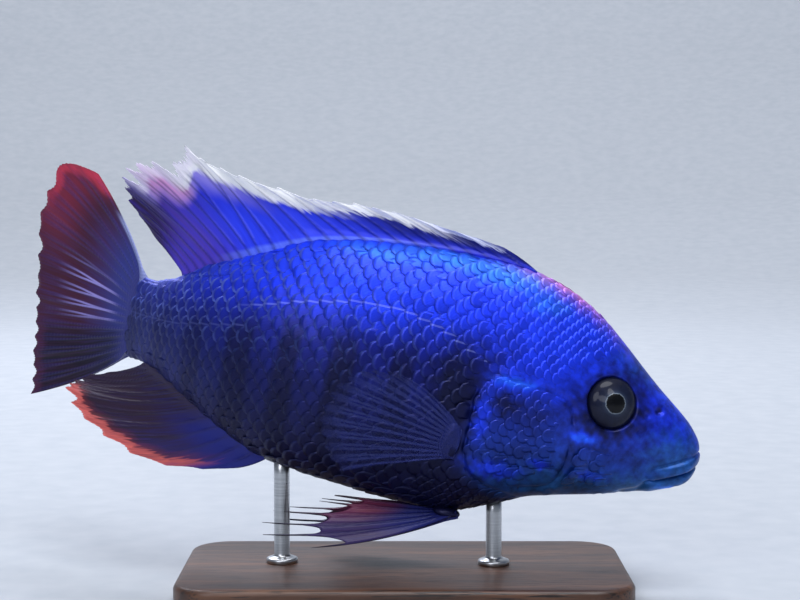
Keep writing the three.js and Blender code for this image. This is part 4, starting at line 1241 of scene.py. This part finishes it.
anal_finish = finish_of("anal_fin_web", fin_skin, "#1b2480", [
    ("#2e1e30", 0.97, [("reach", 0.12, 0.45), ("ray", 0.08, 0.38)]),
    ("#2e1e30", 0.97, [("ray", 0.3, 0.56)]),
    ("#642830", 0.8, [("margin", 3.4, 1.6), ("ray", 0.8, 0.65), ("ray", 0.1, 0.25)]),
    ("#d0615c", 1.0, [("margin", 1.8, 1.2), ("ray", 0.08, 0.2), ("ray", 0.72, 0.64)])],
    rib_colour="#241c3a", rib_share=0.3)
tail_finish = finish_of("tail_fin_web", fin_skin, "#333a86", [
    ("#43244e", 0.9, [("reach", 0.22, 0.5)]),
    ("#451c2e", 0.95, [("reach", 0.42, 0.66)]),
    ("#b0a6f4", 0.85, [
        ("ray", 0.36, 0.42), ("ray", 0.7, 0.6), ("reach", 0.2, 0.35), ("reach", 0.85, 0.55),
        ("rib", 0.2, 0.8)]),
    ("#120f22", 0.95, [("ray", 0.42, 0.25), ("reach", 0.0, 0.3), ("margin", 0.6, 3.0)]),
    ("#8a2c44", 0.7, [("ray", 0.55, 0.85), ("reach", 0.6, 0.9)]),
    ("#c43a52", 0.95, [("ray", 0.74, 0.88), ("margin", 2.6, 1.0)]),
    ("#c43a52", 0.95, [("ray", 0.95, 0.985), ("reach", 0.72, 0.84)]),
    ("#b3bff4", 0.85, [("ray", 0.97, 0.99), ("reach", 0.66, 0.5)])], rib_colour="#3c3a86", rib_share=0.25)

# %% Midline fins
dorsal = ray_fin(dorsal_rays, soft_from=len(DORSAL_SPINES), edge=dorsal_edge, rows=40)
show_fin("dorsal_fin", dorsal, dorsal_finish, "dorsal_fin_spiny", "dorsal_fin_soft")
show_fin("anal_fin_web", ray_fin(anal_rays, soft_from=3, edge=soft_edge), anal_finish, "anal_fin")
tail = ray_fin(tail_rays, edge=tail_edge, rows=52, sink=0.06, flesh=1.2, ripple=0.22)
show_fin("tail_fin_web", tail, tail_finish, "tail_fin")

# %% [markdown]
# Paired fins
# The pectoral fins fan out behind the gill covers on a short fleshy root. The pelvic fins hang below
# them, and their first soft rays are drawn out to dark threads. One side is made, and the other is its
# mirror image. Mirroring turns a mesh inside out, and the mesh maker turns it back.

# %% Rays of the paired fins
PECTORAL_LENGTH, PELVIC_LENGTH = 28.0, 34.0
PECTORAL_RAYS = 13
UPPERMOST, LOWEST, OUTWARD = 42, -12, 22  # directions of the pectoral rays, degrees
PECTORAL_S, PELVIC_S = 46.0, 43.0
PELVIC_OUTER, PELVIC_INNER, PELVIC_CURL = 5.0, 2.2, 4.0
# Each pelvic ray: length, how far it points down and out in degrees, and how much its tip curls up
PELVIC_RAYS = [
    (0.9, 29, 20, 1.3), (1.12, 23, 17, 1.5), (1.08, 19, 14, 1.2), (0.92, 14, 11, 0.6), (0.7, 8.5, 8, 0.3),
    (0.6, 3, 5, 0)]
LEFT_PELVIC_LOWER = 4  # degrees
THREAD_STARTS = 0.72  # share of a pelvic ray that the web reaches


def paired_ray(root, length, upward, outward, droop, side):
    """A ray that leaves its root at two angles, with a tip that curls up or droops."""
    up, out = math.radians(upward), math.radians(outward)
    heading = np.array([-math.cos(up) * math.cos(out), side * math.cos(up) * math.sin(out), math.sin(up)])
    heading, curl = length * heading, np.array([0, 0, droop])
    return lambda t: np.array(root) + np.outer(t, heading) + np.outer(t * np.abs(t), curl)


def pectoral_rays(side):
    """Rays from the uppermost to the lowest."""
    rays = []
    for share in np.linspace(0, 1, PECTORAL_RAYS):
        z = -4 - 6 * share
        root = (-PECTORAL_S - 0.8 * share, side * (skin_y(PECTORAL_S, z) + ROOT_GAP + 0.5), z)
        length = PECTORAL_LENGTH * (0.5 + 0.47 * math.sin(math.pi * (0.1 + 0.72 * share)))
        upward = UPPERMOST + (LOWEST - UPPERMOST) * share
        rays.append(paired_ray(root, length, upward, OUTWARD, -1 - 3.5 * (1 - share) ** 2, side))
    return rays


def pelvic_rays(side):
    """Six rays from the outermost to the innermost."""
    rays = []
    for i, (long, down, out, curl) in enumerate(PELVIC_RAYS):
        share = i / (len(PELVIC_RAYS) - 1)
        y = PELVIC_OUTER + share * (PELVIC_INNER - PELVIC_OUTER)
        root = (-PELVIC_S - 2.5 * share, side * y, belly(PELVIC_S) - ROOT_GAP - 0.3)
        down += LEFT_PELVIC_LOWER if side > 0 else 0
        rays.append(paired_ray(root, PELVIC_LENGTH * long, -down, out, PELVIC_CURL * curl, side))
    return rays


def thread_edge(share, i):
    """The web stops well short of the tips, which run on as threads."""
    near = min(share, 1 - share)
    return THREAD_STARTS + 0.26 * math.exp(-near / 0.045) - 0.03 * math.sin(math.pi * share)


def ball_angles(rows, sides):
    """Angles from the axis and round it, for a ball's rings between its two poles."""
    return np.meshgrid(np.linspace(0, np.pi, rows)[1:-1], turns(sides), indexing="ij")


def fleshy_root(centre, size, side):
    """A small closed lobe of flesh: a ball pressed to a size."""
    tilt, turn = ball_angles(14, 24)
    ball = np.stack([np.sin(tilt) * np.cos(turn), np.sin(tilt) * np.sin(turn), np.cos(tilt)], -1)
    points = np.vstack([ball.reshape(-1, 3), [(0, 0, 1), (0, 0, -1)]]) * size
    return points + np.array(centre) * [1, side, 1], tube_faces(*tilt.shape)


# %% Paired fins
# The fleshy lobes at the roots: centre, half sizes
LOBES = {
    "pectoral": ((-47.1, skin_y(PECTORAL_S, -7.0) + 0.1, -7), (1.9, 1.2, 3.5)),
    "pelvic": ((-44.6, 3.6, belly(PELVIC_S) - 0.4), (2.6, 2.0, 1.1))}

for name, side in (("left", 1), ("right", -1)):
    sheet = ray_fin(pectoral_rays(side), soft_from=1, rows=36, sink=0.03, ridge=(0.2, 0.05), flesh=0.5,
                    ripple=0.2, edge=paired_edge)
    pectoral = show_fin(f"pectoral_web_{name}", sheet, pectoral_finish, f"pectoral_fin_{name}")
    pectoral.data.materials.append(pectoral_ray_finish)
    corners = np.empty(4 * len(pectoral.data.polygons), int)
    pectoral.data.polygons.foreach_get("vertices", corners)
    on_ray = sheet[2]["rib"][corners].reshape(-1, 4).mean(1) > 0.4
    pectoral.data.polygons.foreach_set("material_index", on_ray.astype(np.int32))
    sheet = ray_fin(pelvic_rays(side), soft_from=1, rows=60, sink=0.02, edge=thread_edge, ripple=0.15,
                    ridge=(0.26, 0.1))
    show_fin(f"pelvic_web_{name}", sheet, pelvic_finish, f"pelvic_fin_{name}")
    for part, (centre, size) in LOBES.items():
        points, faces = fleshy_root(centre, size, side)
        lobe = make_piece(f"{part}_root_{name}", tipped(points), faces, markings(*(points * [-1, 1, 1]).T))
        dress(lobe, "scaled_skin", skin_finish)

# %% [markdown]
# Eyes
# A fish's eye has no lid. Its round lens pushes out through a pupil that is drawn a little forward,
# and a thin pale ring lies round it on a dark iris. The eyeball is one closed shell of rings round its
# own axis, with a low dome over the pupil. A strong clear coat makes it wet.

# %% Eyeballs
PUPIL_RADIUS, LENS_HEIGHT = 2.05, 0.3
EYE_RINGS, EYE_SIDES = 60, 72
EYE_FRONT = 1.5  # radians from the axis, beyond which the eyeball is plain


def eyeball(name, side):
    """One eyeball, with the values that draw its rings."""
    centre, look = eye_frame(side)
    up = np.cross(look, np.cross([0, 0, 1.0], look))
    up /= np.linalg.norm(up)
    front = np.cross(up, look) * -side
    tilt, turn = ball_angles(EYE_RINGS, EYE_SIDES)
    off = EYE["radius"] * np.sin(tilt)
    lens = LENS_HEIGHT * np.clip(1 - (off / (PUPIL_RADIUS + 0.1)) ** 2, 0, 1) ** 0.7
    dish = 0.1 * bump((off - 2.9) / 0.7)
    deep = EYE["depth"] * np.cos(tilt) + np.where(tilt < EYE_FRONT, lens - dish, 0)
    points = np.stack([off * np.cos(turn), off * np.sin(turn), deep], -1) @ [front, up, look] + centre
    poles = [centre + look * (EYE["depth"] + LENS_HEIGHT), centre - look * EYE["depth"]]
    off_pupil = off * (1 - 0.07 * np.cos(turn))
    marks = {"off_axis": np.append(off_pupil, [0, 0]), "clock": np.append(turn, [0, 0])}
    return make_piece(name, tipped(np.vstack([points.reshape(-1, 3), poles])), tube_faces(*tilt.shape), marks)


def wet_eye(node):
    """A dark iris, a thin silvery ring and a black pupil under a clear wet film."""
    clock, off_axis = (node("Attribute", out="Fac", attribute_name=name) for name in ("clock", "off_axis"))
    stretched = node("Mapping", {0: node("CombineXYZ", (clock, off_axis)), 3: (6.0, 0.7, 1.0)})
    flecks = node("TexNoise", {"Vector": stretched, "Scale": 1.0, "Detail": 3.0})
    wobble = node("Math", (flecks, 0.45, -0.22), operation="MULTIPLY_ADD")
    off = node("Math", (off_axis, wobble), operation="ADD")
    share = node("Math", (off, EYE["radius"]), operation="DIVIDE")
    rings = node("ValToRGB", (share,), stops=[
        (0.33, "#020308"), (0.35, "#020308"), (0.37, "#7d8894"), (0.4, "#263046"), (0.52, "#141b32"),
        (0.78, "#0c112a"), (1.0, "#080c20")])
    paint = {0: 1.0, 6: rings, 7: node("MapRange", (flecks, 0, 1, 0.6, 1.5))}
    return {
        "Base Color": node("Mix", paint, out=2, data_type="RGBA", blend_type="MULTIPLY"),
        "Roughness": 0.4, "Specular IOR Level": 0.1, "Coat Weight": 0.3, "Coat Roughness": 0.03}


eye_finish = finish_of("wet_eye", wet_eye)
for name, side in (("left", 1), ("right", -1)):
    dress(eyeball(f"eyeball_{name}", side), "eye", eye_finish, f"eye_{name}")

# %% [markdown]
# The stand
# A walnut board with rounded corners and two turned steel rods hold the fish. A board with crisp edges
# catches no light, so its edges get a small round. Both pieces are stacks of outlines, the board's
# flat and the rods' round, which is how a router and a lathe shape them.

# %% Stand shapes
PLINTH = {"length": 84.0, "width": 46.0, "height": 5.0, "corner": 8.0, "round": 1.1}
ROD_RADIUS, FOOT_RADIUS = 1.5, 3.0
ROD_PLACES = {"front": 36.0, "rear": 77.0}
CORNER_STEPS, EDGE_STEPS, ROD_SIDES = 16, 6, 48
# The rod's turned foot: radius, height over the board
FOOT = [
    (FOOT_RADIUS - 0.15, 0), (FOOT_RADIUS, 0.15), (FOOT_RADIUS, 0.7), (FOOT_RADIUS - 0.12, 0.9),
    (FOOT_RADIUS - 0.5, 1.05), (ROD_RADIUS + 0.35, 1.2), (ROD_RADIUS + 0.1, 1.4), (ROD_RADIUS, 1.8)]


def stacked(name, outlines):
    """A closed piece from outlines one above another, each with the same number of points."""
    grid = np.array(outlines)
    points = np.vstack([grid.reshape(-1, 3), grid[0].mean(0), grid[-1].mean(0)])
    return make_piece(name, points * MM, tube_faces(*grid.shape[:2]))


def board_outline(inset, z):
    """The board's outline with rounded corners, moved in from its edge."""
    radius = PLINTH["corner"] - inset
    x, y = PLINTH["length"] / 2 - PLINTH["corner"], PLINTH["width"] / 2 - PLINTH["corner"]
    quarters = enumerate([(x, y), (-x, y), (-x, -y), (x, -y)])
    return [(cx + radius * math.cos(a), cy + radius * math.sin(a), z) for quarter, (cx, cy) in quarters
            for a in np.linspace(0, math.pi / 2, CORNER_STEPS) + quarter * math.pi / 2]


def round_outline(radius, z, x=0.0, y=0.0, sides=ROD_SIDES):
    """A level circle of points."""
    turn = turns(sides)
    return np.stack([x + radius * np.cos(turn), y + radius * np.sin(turn), np.full(sides, z)], 1)


r, top = PLINTH["round"], PLINTH["height"]
quarter = np.linspace(0, math.pi / 2, EDGE_STEPS)
rounding = [(r * (1 - math.cos(a)), top - r + r * math.sin(a)) for a in quarter]
steps = [(0.5, 0.0), (0.12, 0.15), (0, 0.5), *rounding, (3.0, top), (6.5, top)]
board = stacked("plinth_board", [board_outline(inset, z) for inset, z in steps])
rods = {}
for place, s in ROD_PLACES.items():
    x, y, z = tipped(bent(s, 0, belly(s))) / MM
    steps = [*((radius, top + rise) for radius, rise in FOOT), (ROD_RADIUS, z - 2.2), (ROD_RADIUS, z + 1.8)]
    rods[place] = stacked(f"rod_{place}", [round_outline(radius, height, x, y) for radius, height in steps])

# %% [markdown]
# Wood and steel
# Walnut has dark open grain that runs along the board, so its noise is stretched along x and squeezed
# across. The rods were turned and brushed round their axis, which leaves fine level lines.

# %% Stand finishes


def oiled_walnut(node):
    """Oiled walnut: rings a few millimetres apart, and long open pores."""
    place = node("TexCoord", out="Object")
    along = node("Mapping", {0: place, 2: (0.0, 0.0, 0.06), 3: (22.0, 300.0, 300.0)})  # 45 by 3.3 mm
    grain = node("TexNoise", {"Vector": along, "Scale": 1.0, "Detail": 6.0, "Distortion": 0.6})
    wood = node("ValToRGB", (grain,), stops=[
        (0.28, "#2a1710"), (0.45, "#4a2e1f"), (0.58, "#5f3d29"), (0.75, "#7a5238")])
    across = node("Mapping", {0: place, 3: (120.0, 2600.0, 2600.0)})  # 8 by 0.4 mm
    pore = node("TexNoise", {"Vector": across, "Scale": 1.0})
    closed = node("MapRange", (pore, 0.36, 0.44))
    return {
        "Base Color": node("Mix", {0: closed, 6: colour("#1f110b"), 7: wood}, out=2, data_type="RGBA"),
        "Normal": node("Bump", {"Strength": 0.35, "Distance": 0.1 * MM, "Height": closed}),
        "Roughness": 0.42, "Coat Weight": 0.15, "Coat Roughness": 0.3}


def brushed_steel(node):
    """Stainless steel with level lines about 0.2 mm apart."""
    lines = node("Mapping", {0: node("TexCoord", out="Object"), 3: (60.0, 60.0, 5000.0)})  # 0.2 mm high
    brushed = node("TexNoise", {"Vector": lines, "Scale": 1.0})
    return {
        "Base Color": node("ValToRGB", (brushed,), stops=[(0.3, "#a9abae"), (0.7, "#c9cbcd")]),
        "Roughness": node("MapRange", (brushed, 0, 1, 0.22, 0.4)), "Metallic": 1.0}


dress(board, "stand_wood", finish_of("oiled_walnut", oiled_walnut), "stand_base")
steel = finish_of("brushed_stainless_steel", brushed_steel)
for place, rod in rods.items():
    dress(rod, "stand_steel", steel, f"stand_rod_{place}")

# %% [markdown]
# Floor and light
# The floor is a wide shallow dish whose rim rises on all sides, so no horizon shows behind the model.
# Two large soft lamps light the fish: one high over it, for the bright back and the dark belly, and a
# weaker one beside the camera. A third from behind lights the edges of the fins, and a fourth only
# brightens the rim of the floor behind them.

# %% Floor
# The dish from its middle outwards: radius, height, in metres
FLOOR_RINGS = [(0.3, 0), (0.7, 0), (0.9, 0.01), (1.1, 0.06), (1.3, 0.18), (1.45, 0.4), (1.5, 0.8), (1.5, 1.4)]
FLOOR_SIDES = 96


def matt_paper(node):
    """Pale paper with a faint fibre."""
    fibre = node("TexNoise", {"Scale": 400.0})
    shade = node("ValToRGB", (fibre,), stops=[(0.3, "#aeb3b9"), (0.7, "#b6babf")])
    return {"Base Color": shade, "Roughness": 0.85}


dish = [round_outline(radius, z, sides=FLOOR_SIDES) for radius, z in FLOOR_RINGS]
dish_faces = [face[:, ::-1] for face in tube_faces(len(dish), FLOOR_SIDES)[:2]]
floor = make_piece("floor", np.vstack([*dish, [(0, 0, 0)]]), dish_faces, solid=False)
floor.data.materials.append(finish_of("matt_paper", matt_paper))

# %% Lamps
# Each lamp: name, place, what it is aimed at, width, watts, colour
MODEL, BACKDROP = Vector((0.0, 0.0, 0.05)), Vector((0.0, 1.2, 0.1))
LAMPS = [
    ("key", (0.10, -0.28, 0.75), MODEL, 0.5, 3.6, "#f8faff"),
    ("fill", (-0.35, -0.75, 0.45), MODEL, 0.5, 2.3, "#f2f5ff"),
    ("rim", (-0.25, 0.45, 0.55), MODEL, 0.4, 2.6, "#ecf1ff"),
    ("backdrop", (0.0, 0.55, 1.0), BACKDROP, 0.8, 9.0, "#f4f6ff")]
ROOM_COLOUR, ROOM_LIGHT = "#dfe6f0", 0.6

for name, place, target, width, watts, tint in LAMPS:
    lamp = new_object(name, bpy.data.lights.new(name, "AREA"))
    lamp.data.shape = "DISK"
    lamp.data.size = width
    lamp.data.energy = watts
    lamp.data.color = colour(tint)[:3]
    lamp.location = place
    lamp.rotation_euler = (target - Vector(place)).to_track_quat("-Z", "Y").to_euler()
world = bpy.data.worlds.new("soft_room")
world.use_nodes = True
room = world.node_tree.nodes["Background"].inputs
room["Color"].default_value = colour(ROOM_COLOUR)
room["Strength"].default_value = ROOM_LIGHT
bpy.context.scene.world = world
print("lamps:", [lamp[0] for lamp in LAMPS])
